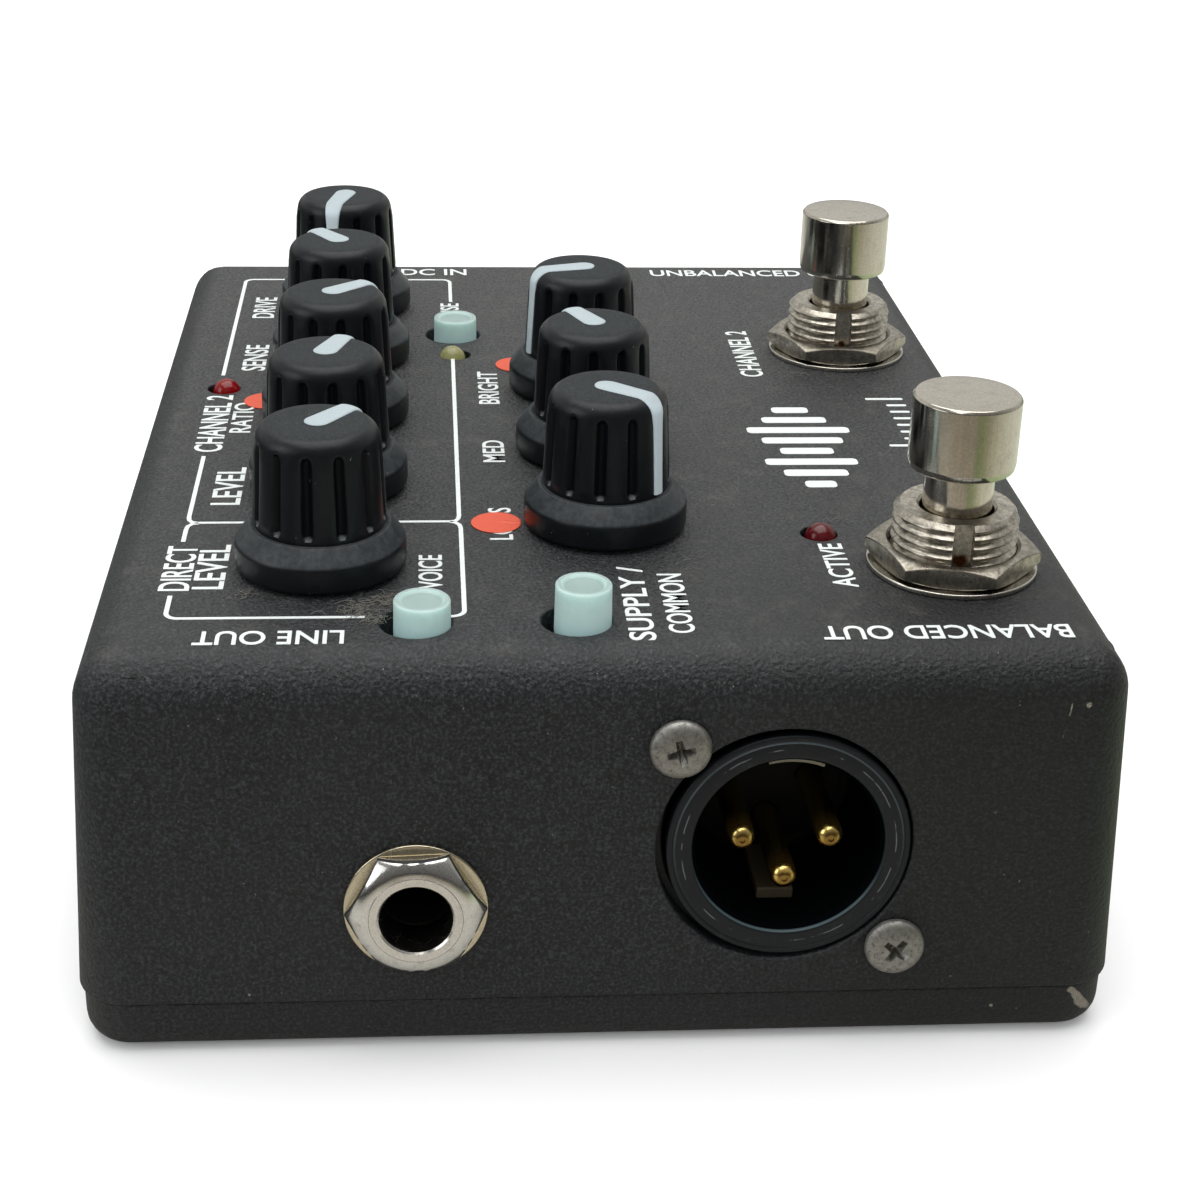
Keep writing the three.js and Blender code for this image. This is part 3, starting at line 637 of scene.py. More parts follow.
def plated(name, tone, rough, amount, scale, tarnish=srgb(96, 78, 58), brushed=None,
           line_depth=0.6, pits=0.0, mottle=0.0, grime=0.0, rust=None,
           rust_tones=((70, 38, 20), (128, 78, 40))):
    """Plated metal with uneven polish, fine scratches and patches of tarnish.

    rough is a range; amount is the strength of the tarnish and scale the scale of its
    patches; brushed stretches the brush lines; rust is (point, radius).
    """
    mat = Mat(name)
    patch = mat.noise(scale, detail=6, rough=0.68)
    fine = mat.noise(scale * 7, rough=0.6)
    mat.color = fine.ramp((0.3, scaled(tone, 0.78)), (0.7, tone))
    tarnished = patch.step(0.5, 0.78, to=amount)
    mat.paint(tarnish, tarnished)
    roughness = tarnished.level(patch.level(*rough), min(1.0, rough[1] + 0.3))
    height = fine * 0.35
    metallic = 1.0
    if brushed:
        lines = mat.noise(4.0, rough=0.7, stretch=brushed)
        height = height + lines * line_depth
        mat.paint(scaled(tone, 0.55), lines.fade(0.42, 0.62, start=0.30))
        roughness = roughness + (lines - 0.5) * 0.18
    scratches = mat.voronoi(0.55, feature="DISTANCE_TO_EDGE").fade(0.006, 0.02)
    scratches = scratches * mat.noise(0.6, detail=2).step(0.45, 0.6)
    roughness = roughness + scratches * 0.12
    if pits:
        pit = mat.voronoi(2.2).fade(0.10, 0.20) * mat.noise(1.1).step(0.48, 0.62)
        mat.paint(srgb(50, 42, 34), pit * pits)
        height = height - pit * 0.8
        roughness = roughness + pit * 0.25
        metallic = 1.0 - pit * (0.7 * pits)
    if mottle:
        blot = mat.noise(1.7, detail=5, rough=0.72)
        mat.paint(scaled(tone, 0.32), blot.fade(0.40, 0.60, start=mottle))
        height = height + blot * 1.2
    if grime:
        crust = mat.noise(2.4, detail=5, rough=0.7).step(0.52, 0.7, to=grime)
        mat.paint(srgb(84, 72, 58), crust)
        roughness = roughness + crust * 0.35
    if rust:
        point, radius = rust
        spot = mat.near(point, radius * 0.5, radius * 0.8, radius * 0.55, 1.8)
        dark, light = (srgb(*channels) for channels in rust_tones)
        mat.paint(mat.noise(3.5, detail=4).ramp((0.35, dark), (0.65, light)), spot)
        roughness = spot.level(roughness, 0.85)
    normal = mat.bump(height, distance=0.012, strength=0.7)
    return mat.finish(rough=roughness, metal=metallic, normal=normal)


def gold_pin(name):
    """Gold with a painted highlight on the upper half of the tip, painted shade under it, and a
    painted dark reflection in the middle of each end.
    """
    mat = Mat(name)
    x, up = mat.xyz[0], mat.up
    fine = mat.noise(5.0, detail=4, rough=0.65)
    # painted highlight on the upper half of the tip, painted shade below it
    mat.color = up.step(-0.45, 0.55).tint((0.52, 0.30, 0.055), (1.0, 0.76, 0.26))
    mat.paint((0.30, 0.17, 0.04), fine.step(0.50, 0.66, to=0.5))
    # painted dark reflection in the middle of each pin's end
    tip_dark_reflection = mat.most([
        mat.near((-57.55, XLR_Y + across, XLR_Z + rise), 0.5, 0.34, 0.22, 1.2)
        for across, rise in XLR_PINS
    ])
    mat.paint((0.22, 0.12, 0.03), tip_dark_reflection * 0.8)
    # painted glow, faint along the shaft and stronger on the upper part of the very end,
    # standing in for light on the pins
    shaft = x.step(-53.5, -57.2) * fine.step(0.34, 0.62, start=0.25)
    end = x.step(-57.25, -57.6) * up.step(-0.35, 0.35)
    return mat.finish(
        rough=fine.level(0.12, 0.30), metal=1.0, emit=srgb(236, 186, 84),
        emit_strength=shaft * up.step(-0.2, 0.5) * 0.012 + end * tip_dark_reflection.level(0.22, 0.0),
        normal=mat.bump(fine, distance=0.02, strength=0.7),
    )


def white_ink(name, tone, wear, flat_tone=None):
    """Pale paint; flat_tone is its colour on faces that look up."""
    mat = Mat(name)
    patches = mat.noise(3.0, detail=5, rough=0.7)
    fine = mat.noise(9.0, rough=0.6)
    mat.color = fine.step(0.3, 0.7).tint(scaled(tone, 0.90), tone)
    if flat_tone:
        flat_color = fine.step(0.3, 0.7).tint(scaled(flat_tone, 0.9), flat_tone)
        mat.paint(flat_color, mat.up.step(0.35, 0.95))
    mat.paint(srgb(120, 118, 110), patches.step(0.60, 0.82, to=wear))
    normal = mat.bump(fine + patches, distance=0.03, strength=0.6)
    return mat.finish(rough=fine.level(0.45, 0.6), normal=normal, spec=0.4)


def mint_plastic(name):
    """Translucent button plastic, greyer on top as painted shade, bluer near the panel, with a
    painted glow on the sides.
    """
    mat = Mat(name)
    fine = mat.noise(6.0, rough=0.6)
    cloud = mat.noise(0.7, detail=4, rough=0.6)
    mat.color = cloud.tint(srgb(160, 184, 180), srgb(178, 199, 194))
    dirt = mat.noise(2.2, detail=5, rough=0.7).step(0.56, 0.78) * 0.22
    mat.paint(srgb(120, 126, 116), dirt)
    # painted shade greying the top dish
    mat.paint(srgb(124, 143, 140), mat.up.step(0.75, 1.0, to=0.58))
    mat.paint(srgb(140, 186, 200), mat.xyz[2].step(TOP + 1.6, TOP - 0.6, to=0.35))
    # painted glow on the sides, as painted light
    return mat.finish(
        rough=fine.level(0.36, 0.52), sss=0.75, sss_scale=0.0022, sss_radius=(1.0, 1.2, 1.1),
        emit=srgb(168, 196, 192), emit_strength=mat.up.step(0.9, 0.2, to=0.20),
        normal=mat.bump(fine, distance=0.012, strength=0.5),
    )


def lens(name, tone, deep, trans=0.35):
    mat = Mat(name)
    mat.color = mat.noise(1.4, detail=4, rough=0.6).tint(deep, tone)
    scuffs = mat.noise(9.0, rough=0.7)
    # a faint painted glow in the lens's own colour; the lamps are not lit
    return mat.finish(
        rough=scuffs.level(0.08, 0.26), trans=trans, ior=1.5, coat=0.15, coat_rough=0.08,
        emit=tone, emit_strength=0.10, spec=0.3,
        normal=mat.bump(scuffs, distance=0.006, strength=0.5),
    )


def moulded(name, tone=(20, 21, 23), rough=0.42, dust=0.25):
    mat = Mat(name)
    fine = mat.noise(6.0, rough=0.6)
    cloud = mat.noise(0.9, detail=5, rough=0.65)
    tone = srgb(*tone)
    mat.color = fine.tint(scaled(tone, 0.7), scaled(tone, 1.3))
    mat.paint(srgb(88, 84, 76), cloud.step(0.52, 0.8, to=dust))
    normal = mat.bump(fine, distance=0.015, strength=0.5)
    return mat.finish(rough=cloud.level(rough - 0.06, rough + 0.14), normal=normal)


def connector_plastic(name):
    """Moulded shell: a satin ring face round a bore painted near-black, as painted shade."""
    mat = Mat(name)
    x, y, z = mat.xyz
    across, rise = y - XLR_Y, z - XLR_Z
    radius = (across * across + rise * rise).sqrt()
    shallow = x.step(-57.4, -58.2)
    face = radius.step(8.50, 8.64) * shallow
    fine = mat.noise(6.0, rough=0.6)
    cloud = mat.noise(0.9, detail=5, rough=0.65)
    # painted shade: the bore is near-black, the ring face a lighter satin black
    mat.color = face.tint(
        fine.ramp((0.3, srgb(2, 3, 4)), (0.7, srgb(7, 8, 9))),
        fine.ramp((0.3, srgb(10, 13, 16)), (0.7, srgb(19, 23, 26))),
    )
    mat.paint(srgb(70, 72, 72), face * cloud.step(0.55, 0.8, to=0.25))
    # painted highlights: a pale inner lip, clearest at the bottom, and a pale line near the
    # outer edge
    low = z.step(XLR_Z - 2.0, XLR_Z - 6.5)
    lip = (radius - 8.62).abs().fade(0.04, 0.10) * shallow * low.level(0.10, 0.55)
    mat.paint(srgb(78, 98, 104), lip)
    edge = (radius - 10.14).abs().fade(0.05, 0.11)
    edge = edge * z.step(XLR_Z - 6.0, XLR_Z + 5.0, start=0.15, to=0.7)
    mat.paint(srgb(72, 80, 84), edge)
    # broken arcs rubbed into the ring
    arcs = (radius + mat.noise(0.35) * 0.25 - 9.62).abs().fade(0.03, 0.07)
    arcs = arcs * mat.noise(0.5).step(0.50, 0.58)
    mat.paint(srgb(110, 114, 112), arcs * 0.6)
    return mat.finish(
        rough=face.level(0.62, cloud.level(0.34, 0.50)), spec=face * 0.35,
        normal=mat.bump(fine, distance=0.015, strength=0.5),
    )


def sticker_vinyl(name):
    mat = Mat(name)
    fine = mat.noise(5.0, rough=0.6)
    patches = mat.noise(1.2, detail=5, rough=0.65)
    mat.color = fine.tint(srgb(192, 64, 34), srgb(216, 84, 50))
    mat.paint(srgb(190, 52, 38), patches.step(0.62, 0.85, to=0.3))
    normal = mat.bump(patches + fine * 0.4, distance=0.04, strength=0.6)
    # a faint painted glow in the vinyl's red
    return mat.finish(rough=0.5, emit=srgb(240, 84, 60), emit_strength=0.06, normal=normal)


def circuit_board(name):
    mat = Mat(name)
    tracks = mat.voronoi(0.22, feature="DISTANCE_TO_EDGE")
    pads = mat.voronoi(0.4).fade(0.16, 0.2)
    mat.color = tracks.fade(0.03, 0.06).tint(srgb(18, 64, 40), srgb(30, 96, 58))
    mat.paint(srgb(186, 188, 180), pads)
    normal = mat.bump(tracks + pads, distance=0.03, strength=0.5)
    return mat.finish(rough=mat.noise(4.0).level(0.3, 0.45), metal=pads * 0.8, normal=normal)


def battery_can(name):
    mat = Mat(name)
    band = mat.xyz[0].step(-8.0, -7.4)
    mat.color = band.tint(srgb(38, 40, 44), srgb(176, 140, 70))
    scuffs = mat.noise(1.4, detail=6, rough=0.75).step(0.6, 0.82, to=0.4)
    mat.paint(srgb(150, 148, 142), scuffs)
    return mat.finish(
        rough=mat.noise(3.0, detail=4).level(0.28, 0.45), metal=band * 0.4,
        normal=mat.bump(mat.noise(2.0, detail=4), distance=0.02, strength=0.5),
    )


MATS = {
    "shell": powder_coat("coat_shell", 1.0, SHELL_STROKES, SHELL_SPOTS),
    "plate": powder_coat("coat_plate", 0.95, PLATE_STROKES, PLATE_SPOTS),
    "knob": knob_plastic("knob_plastic"),
    "pointer": white_ink(
        "pointer_paint", srgb(200, 214, 219), wear=0.14, flat_tone=srgb(168, 180, 184)),
    "ink": white_ink("panel_ink", srgb(224, 230, 228), wear=0.22),
    "sticker": sticker_vinyl("sticker_vinyl"),
    "cap": plated(
        "plated_cap", (0.72, 0.67, 0.58), rough=(0.09, 0.19), amount=0.26, scale=0.5,
        brushed=(2.2, 2.2, 0.05), line_depth=0.25),
    "foot_nut": plated(
        "plated_nut", (0.50, 0.46, 0.39), rough=(0.20, 0.38), amount=0.6, scale=0.8,
        grime=0.5, mottle=0.55),
    "foot_washer": plated(
        "plated_washer", (0.70, 0.67, 0.60), rough=(0.16, 0.28), amount=0.3, scale=0.7,
        grime=0.2),
    "jack_nut": plated(
        "jack_nut_plate", (0.96, 0.95, 0.91), rough=(0.06, 0.16), tarnish=srgb(58, 48, 46),
        amount=0.42, scale=0.9, line_depth=0.8, brushed=(0.4, 2.6, 2.6)),
    "jack_bush": plated(
        "jack_bush_plate", (0.90, 0.87, 0.82), rough=(0.16, 0.28), amount=0.16, scale=0.8),
    "jack_washer": plated(
        "jack_washer_plate", (0.78, 0.70, 0.52), rough=(0.18, 0.30), amount=0.22, scale=0.8),
    "steel": plated(
        "steel_screw", (0.36, 0.36, 0.36), rough=(0.28, 0.42), amount=0.35, scale=1.0),
    "gold": gold_pin("gold_pin"),
    "pot": plated("pot_can", (0.46, 0.46, 0.46), rough=(0.3, 0.45), amount=0.3, scale=0.6),
    "shaft": plated(
        "pot_shaft", (0.60, 0.60, 0.58), rough=(0.22, 0.35), amount=0.25, scale=1.0),
    "mint": mint_plastic("button_mint"),
    "red": lens("lamp_red_lens", srgb(150, 8, 14), srgb(104, 3, 7)),
    "amber": lens("lamp_olive_lens", srgb(176, 176, 124), srgb(140, 138, 88), trans=0.5),
    "dark_red": lens("lamp_dark_red_lens", srgb(104, 14, 20), srgb(58, 6, 10)),
    "black": moulded("moulded_black"),
    "xlr": connector_plastic("connector_shell"),
    # the insert is a darker black than the other plastics: painted shade deep in the bore
    "xlr_floor": moulded("connector_insert", tone=(2, 2, 3), rough=0.62, dust=0.03),
    "key": moulded("connector_key", tone=(58, 52, 38), rough=0.5, dust=0.2),
    "spring": plated(
        "contact_spring", (0.80, 0.76, 0.62), rough=(0.25, 0.4), amount=0.2, scale=1.0),
    # socket_inside is a darker black: painted shade inside the socket on the camera side
    "hole": moulded("socket_inside", tone=(6, 6, 6), rough=0.6, dust=0.05),
    "lint": moulded("lint_fibre", tone=(118, 116, 108), rough=0.85, dust=0.3),
    "board": circuit_board("board_green"),
    "battery": battery_can("battery_can"),
}
# key, material name, centre and radius of the rust spot
for switch, name, point, radius in (
    ("effect", "bushing_near", (-44.1, -32.5, 41.0), 0.75),
    ("distortion", "bushing_far", (16.35, -32.3, 40.8), 0.45),
):
    MATS[f"bushing_{switch}"] = plated(
        name, (0.68, 0.63, 0.54), rough=(0.22, 0.38), amount=0.5, scale=1.1,
        grime=0.55, mottle=0.55, rust=(point, radius))
XLR_WALL = wall_frame(-1, XLR_Y, XLR_Z)
for i, (across, rise) in enumerate(XLR_SCREWS):
    centre = tuple(moved([(across, rise, 0.7)], XLR_WALL)[0])
    MATS[f"xlr_screw_{i}"] = plated(
        f"zinc_screw_{i}", (0.50, 0.49, 0.46), rough=(0.42, 0.62), tarnish=srgb(92, 88, 80),
        amount=0.5, scale=1.4, pits=0.8, grime=0.5, mottle=0.35,
        rust=(centre, 0.42), rust_tones=((46, 40, 34), (104, 86, 66)))


# ------------------------------------------------------------------ enclosure

HOLE_EDGE = 0.24  # rounding at the mouth of most holes
BASE_TOP = PARTING - 0.03


def ring(inset, z):
    """Rounded rectangle at height z, drawn in from the widest outline."""
    steps = 14
    radius = max(PLAN_R - inset, 1.2)
    extra = inset - (PLAN_R - radius)
    out = []
    for quarter, (side_x, side_y) in enumerate(((1, 1), (-1, 1), (-1, -1), (1, -1))):
        centre_x = side_x * (LENGTH / 2 - PLAN_R - extra)
        centre_y = side_y * (DEPTH / 2 - PLAN_R - extra)
        for i in range(steps + 1):
            x, y, _ = polar(radius, math.pi / 2 * (quarter + i / steps), z)
            out.append((centre_x + x, centre_y + y, z))
    return out


def at_posts(profile, segments=40):
    """The same turned shape at each of the four corner posts."""
    part = lathe(profile, segments)
    return merge(*[placed(part, translation(x, y)) for x, y in POSTS])


def cylinder(radius, z0, z1, segments):
    return lathe([(0, z0), (radius, z0), (radius, z1), (0, z1)], segments)


def flared(radius, bottom, face, segments, edge=HOLE_EDGE):
    """Cutter for a hole whose mouth is rounded into the face."""
    profile = [(0, bottom), (radius, bottom)]
    for i in range(5):
        angle = math.pi / 2 * i / 4
        rise = face - edge + edge * math.sin(angle)
        profile.append((radius + edge * (1 - math.cos(angle)), rise))
    profile += [(radius + edge, face + 2), (0, face + 2)]
    return lathe(profile, segments)


def panel_hole(x, y, radius, segments, edge=HOLE_EDGE):
    return placed(flared(radius, ROOF_UNDER - 1.5, TOP, segments, edge), translation(x, y))


def wall_hole(side, y, z, radius, segments, edge=HOLE_EDGE):
    return placed(flared(radius, -3.4, 0, segments, edge), wall_frame(side, y, z))


def build_enclosure():
    fillet_z = TOP - TOP_FILLET
    inner = WALL + wall_inset(ROOF_UNDER - 1.6)
    rows = [
        ring(inner + 1.6, ROOF_UNDER),
        ring(inner + 0.47, ROOF_UNDER - 0.47),
        ring(inner, ROOF_UNDER - 1.6),
        ring(WALL + 0.06, PARTING + 0.5),
        ring(WALL + 0.2, PARTING),
    ]
    lip = 0.32
    for i in range(4):
        angle = math.pi / 2 * i / 3
        rows.append(ring(lip * (1 - math.sin(angle)), PARTING + lip * (1 - math.cos(angle))))
    for z in (12.0, 20.0, 28.0, fillet_z):
        rows.append(ring(wall_inset(z), z))
    for i in range(1, 11):
        angle = math.pi / 2 * i / 10
        inset = wall_inset(fillet_z) + TOP_FILLET * (1 - math.cos(angle))
        rows.append(ring(inset, fillet_z + TOP_FILLET * math.sin(angle)))
    mesh = mesh_from(sheet(rows, "ngon", "ngon"))
    mesh = boolean(mesh, at_posts([
        (0, PARTING + 0.15), (POST_R - 0.2, PARTING + 0.15), (POST_R, PARTING + 0.4),
        (POST_R, ROOF_UNDER + 0.8), (0, ROOF_UNDER + 0.8),
    ]), "UNION")

    cuts = [panel_hole(knob[1], knob[2], 3.75, 32) for knob in KNOBS]
    cuts += [panel_hole(switch[1], switch[2], 6.05, 48) for switch in FOOT_SWITCHES]
    cuts += [panel_hole(*button[4:], 56) for button in BUTTONS]
    cuts += [panel_hole(x + dx, y + dy, 1.76, 40, edge=0.15) for _, x, y, dx, dy, _ in LAMPS]
    cuts += [wall_hole(side, y, JACK_Z, 4.4, 40) for _, side, y in JACKS]
    cuts.append(wall_hole(1, DC_Y, DC_Z, 5.6, 40))
    cuts.append(wall_hole(-1, *XLR_HOLE, 11.38, 120, edge=0.3))
    for across, rise in XLR_SCREWS:
        matrix = XLR_WALL @ translation(across, rise)
        cuts.append(placed(cylinder(1.65, -3.4, 1.0, 24), matrix))
    # screw holes up into the posts
    bore = [(0, PARTING - 1), (1.4, PARTING - 1), (1.4, 18.5), (0, 18.9)]
    cuts.append(at_posts(bore, 20))
    mesh = boolean(mesh, merge(*cuts))
    piece("enclosure_shell", mesh, "shell", "powder_coat", "enclosure_body", sharp=38)


def build_base():
    rows = []
    for i in range(7):
        angle = math.pi / 2 * (1 - i / 6)
        inset = BASE_INSET + BASE_FILLET * (1 - math.cos(angle))
        rows.append(ring(inset, BASE_FILLET * (1 - math.sin(angle))))
    lip = 0.34
    for i in range(4):
        angle = math.pi / 2 * i / 3
        inset = BASE_INSET + lip * (1 - math.cos(angle))
        rows.append(ring(inset, BASE_TOP - lip + lip * math.sin(angle)))
    # raised rim that stands inside the cover, then the floor
    rows += [
        ring(WALL + 0.38, BASE_TOP), ring(WALL + 0.45, 6.9), ring(WALL + 0.75, 7.2),
        ring(3.9, 7.2), ring(3.9, BASE_FLOOR + 0.5), ring(4.4, BASE_FLOOR),
    ]
    mesh = mesh_from(sheet(rows, "ngon", "ngon"))
    # room for the posts, bosses under them, and countersunk holes
    room = [(0, BASE_TOP), (POST_R + 0.7, BASE_TOP), (POST_R + 0.7, 9), (0, 9)]
    mesh = boolean(mesh, at_posts(room))
    mesh = boolean(mesh, at_posts([
        (0, 1.0), (POST_R + 0.6, 1.0), (POST_R + 0.6, BASE_TOP - 0.2),
        (POST_R + 0.4, BASE_TOP - 0.005), (0, BASE_TOP - 0.005),
    ]), "UNION")
    mesh = boolean(mesh, at_posts([
        (0, -1), (3.45, -1), (3.45, -0.02), (3.3, 0.08), (3.2, 0.25), (1.7, 1.8), (1.7, 8),
        (0, 8),
    ], 48))
    piece("base_plate_cover", mesh, "plate", "powder_coat_base", "base_plate", sharp=38)


def cross_cutter(reach, width, top, depth, taper=0.55):
    """A tapered four-winged recess, opening upwards."""
    half = width / 2
    root = half * 1.25  # corner between two wings
    outline = [
        (reach, -half), (reach, half), (root, root), (half, reach), (-half, reach),
        (-root, root), (-reach, half), (-reach, -half), (-root, -root), (-half, -reach),
        (half, -reach), (root, -root),
    ]
    levels = (
        (1.0, top + 0.6), (1.0, top), (taper, top - depth * 0.75), (taper * 0.35, top - depth))
    rows = [[(x * size, y * size, z) for x, y in outline] for size, z in levels]
    return sheet(rows, "ngon", "ngon")


def build_screws():
    under = 0.1  # height of the screw heads' underside faces
    for i, (side_x, side_y) in enumerate(((-1, -1), (1, -1), (1, 1), (-1, 1)), 1):
        mesh = mesh_from(lathe(fillet([
            (0, 0.10), (2.85, 0.12, 0.06, 2), (2.85, 0.35, 0.05, 2), (1.25, 1.95, 0.1, 2),
            (1.25, 12.9, 0.1, 2), (0.3, 13.4), (0, 13.4),
        ]), 48))
        verts, faces = cross_cutter(reach=1.75, width=0.62, top=0.0, depth=1.5)
        verts = [(x, y, under - z) for x, y, z in verts]
        mesh = boolean(mesh, (verts, faces), matrix=turn_z(20 + 37 * i))
        shift(mesh, translation(side_x * POST_X, side_y * POST_Y))
        piece(f"cover_screw_{i}", mesh, "steel", "screw_steel", f"base_screw_{i}", sharp=30)


# ------------------------------------------------------------------ rotary controls
# Heights are above the panel.

SIDE_BOTTOM, SIDE_R = 4.42, 5.99
SHOULDER_Z, SHOULDER_R = 12.25, 5.60
CROWN_Z, FLAT_R = 13.87, 4.05
SHOULDER_RISE = CROWN_Z - SHOULDER_Z
GROOVE_HALF, GROOVE_DEPTH = 0.55, 0.56

# Degrees from the middle of each of the 12 sectors, closest at the groove's edges
SECTOR_OFFSETS = [
    -15, -12.5, -10.2, -8.4, -6.6, -5.4, -4.75, -4.3, -3.5, -1.8,
    0, 1.8, 3.5, 4.3, 4.75, 5.4, 6.6, 8.4, 10.2, 12.5,
]
# (radius, z): shaft socket and hollow underside, skirt with roundings, collar
KNOB_UNDERSIDE = [
    (3.12, 12.4), (3.12, 1.0), (3.3, 0.75), (4.7, 0.75), (4.9, 1.0), (4.9, 4.0), (5.2, 4.0),
    (6.75, 0.9), (6.95, 0.42),
]
KNOB_SKIRT = [
    (6.95, 0.35), (7.79, 0.35, 0.38, 4), (7.79, 2.72, 0.85, 5), (6.42, 4.32, 0.22, 3),
    (6.12, 4.30),
]
KNOB_COLLAR = [(6.02, 4.22), (5.96, 4.28)]
KNOB_CROWN = [(FLAT_R, CROWN_Z), (3.2, CROWN_Z), (1.6, 13.868)]
SIDE_HEIGHTS = [
    SIDE_BOTTOM, 4.7, 4.95, 5.1, 5.22, 5.34, 5.48, 5.66, 5.9, 6.3, 7.2, 8.2, 9.2, 10.0, 10.6,
    11.0, 11.3, 11.55, 11.75, 11.92, 12.06, 12.18, 12.28,
]
SHOULDER_ANGLES = (8, 15, 22, 30, 38, 46, 54, 62, 70, 78)


def shoulder_height(degrees):
    return SHOULDER_Z + SHOULDER_RISE * math.sin(math.radians(degrees))


def side_radius(z):
    """Cap radius without grooves."""
    if z <= SHOULDER_Z:
        share = (z - SIDE_BOTTOM) / (SHOULDER_Z - SIDE_BOTTOM)
        return SIDE_R + (SHOULDER_R - SIDE_R) * share
    rise = (z - SHOULDER_Z) / SHOULDER_RISE
    return FLAT_R + (SHOULDER_R - FLAT_R) * math.sqrt(1 - rise ** 2)


def smooth(value):
    value = clamp(value)
    return value * value * (3 - 2 * value)


def fluted_radius(sector, offset, z):
    """Cap radius with the bulges between grooves; the pointer's sector has no groove."""
    radius = side_radius(z)
    lateral = abs(radius * math.radians(offset))
    bulge = 0.0
    if z < SHOULDER_Z + 0.2:
        bulge = 0.13 * max(0.0, 1 - ((abs(offset) - 15) / 10.0) ** 2)
        bulge *= clamp((z - 4.5) / 0.8) * clamp((12.5 - z) / 1.2)
    groove = 0.0
    if sector != 0 and lateral < GROOVE_HALF:
        # both ends of the groove are round
        rounding = GROOVE_HALF - math.sqrt(GROOVE_HALF ** 2 - lateral ** 2)
        upper, lower = 12.62 - rounding * 1.1, 4.74 + rounding * 0.9
        groove = GROOVE_DEPTH * (1 - (lateral / GROOVE_HALF) ** 2.2)
        groove *= smooth((upper - z) / 0.60) * smooth((z - lower) / 0.26)
    return radius + bulge - groove


def knob_part():
    columns = [
        (sector, offset, math.radians(30 * sector + offset))
        for sector in range(12) for offset in SECTOR_OFFSETS
    ]

    def plain(profile):
        return [[polar(radius, angle, z) for _, _, angle in columns] for radius, z in profile]

    rows = plain(KNOB_UNDERSIDE + fillet(KNOB_SKIRT) + KNOB_COLLAR)
    for z in SIDE_HEIGHTS + [shoulder_height(degrees) for degrees in SHOULDER_ANGLES]:
        rows.append([
            polar(fluted_radius(sector, offset, z), angle, z)
            for sector, offset, angle in columns
        ])
    rows += plain(KNOB_CROWN)
    return sheet(rows, (0, 0, 12.4), (0, 0, 13.866))


def add_flute_depth(mesh, x, y):
    """Stores how deep each point lies in a groove, for the material's painted shade in the
    flutes.
    """
    depths = []
    for vertex in mesh.vertices:
        radius = math.hypot(vertex.co.x / MM - x, vertex.co.y / MM - y)
        z = vertex.co.z / MM - TOP
        depth = side_radius(z) - radius if 4.9 < z < 12.7 and radius > 5.0 else 0.0
        depths.append(clamp((depth - 0.08) / 0.36))
    mesh.attributes.new("flute_shade", "FLOAT", "POINT").data.foreach_set("value", depths)


# The pointer is a raised rib over the top, the shoulder and down the side. Its stations
# are (zone, position): an angle round the blunt start, a share of the top, or a height.
POINTER_START_R = 1.20  # half width where the round start ends
POINTER_EDGE = 0.99  # half width at the edge of the flat top
POINTER_PATH = [("start", math.radians(degrees)) for degrees in (6, 20, 34, 48, 62, 76, 90)]
POINTER_PATH += [("top", share) for share in (0.12, 0.35, 0.6, 0.8, 1.0)]
POINTER_PATH += [
    ("side", shoulder_height(degrees)) for degrees in (*reversed(SHOULDER_ANGLES), 0)]
POINTER_PATH += [("side", z) for z in (11.4, 10.2, 8.6, 7.0, 5.6, 4.62)]
# Section of the rib: places across it, -1 to 1, and the height of its crown there
POINTER_ACROSS = [
    math.sin(math.radians(degrees))
    for degrees in (-90, -76, -62, -46, -30, -14, 0, 14, 30, 46, 62, 76, 90)
]
POINTER_CROWN = [
    0.02, 0.085, 0.14, 0.18, 0.205, 0.218, 0.222, 0.218, 0.205, 0.18, 0.14, 0.085, 0.02]
POINTER_RIM = (0.45, 0.8, 0.95, 1.0)  # share of the crown at the first stations


def pointer_point(zone, position, across, lift, start):
    if zone == "start":
        lateral = POINTER_START_R * math.sin(position) * across
        return start + POINTER_START_R * (1 - math.cos(position)), lateral, CROWN_Z + lift
    if zone == "top":
        lateral = (POINTER_START_R + (POINTER_EDGE - POINTER_START_R) * position) * across
        begin = start + POINTER_START_R
        end = math.sqrt(FLAT_R ** 2 - lateral ** 2)
        return begin + (end - begin) * position, lateral, CROWN_Z + lift + 0.06 * position
    half = np.interp(position, (4.6, 11.0, 12.6, CROWN_Z), (0.62, 0.68, 0.82, POINTER_EDGE))
    lateral = float(half) * across
    if lift > 0:
        lift += 0.03
    out, up = 1.0, 0.0  # outward normal
    if position > SHOULDER_Z:
        rise = (position - SHOULDER_Z) / SHOULDER_RISE
        out, up = math.sqrt(1 - rise * rise) / (SHOULDER_R - FLAT_R), rise / SHOULDER_RISE
        size = math.hypot(out, up)
        out, up = out / size, up / size
    radius = side_radius(position) + out * lift
    return math.sqrt(radius * radius - lateral * lateral), lateral, position + up * lift


def pointer_part(start):
    rows = []
    for i, (zone, position) in enumerate(POINTER_PATH):
        share = POINTER_RIM[min(i, 3)] * (1.0 if zone == "side" else 0.55)
        outer = [
            pointer_point(zone, position, across, crown * share, start)
            for across, crown in zip(POINTER_ACROSS, POINTER_CROWN)
        ]
        inner = [
            pointer_point(zone, position, across, -0.12, start) for across in POINTER_ACROSS]
        rows.append(outer + inner[::-1])
    return sheet(rows, "ngon", "ngon")


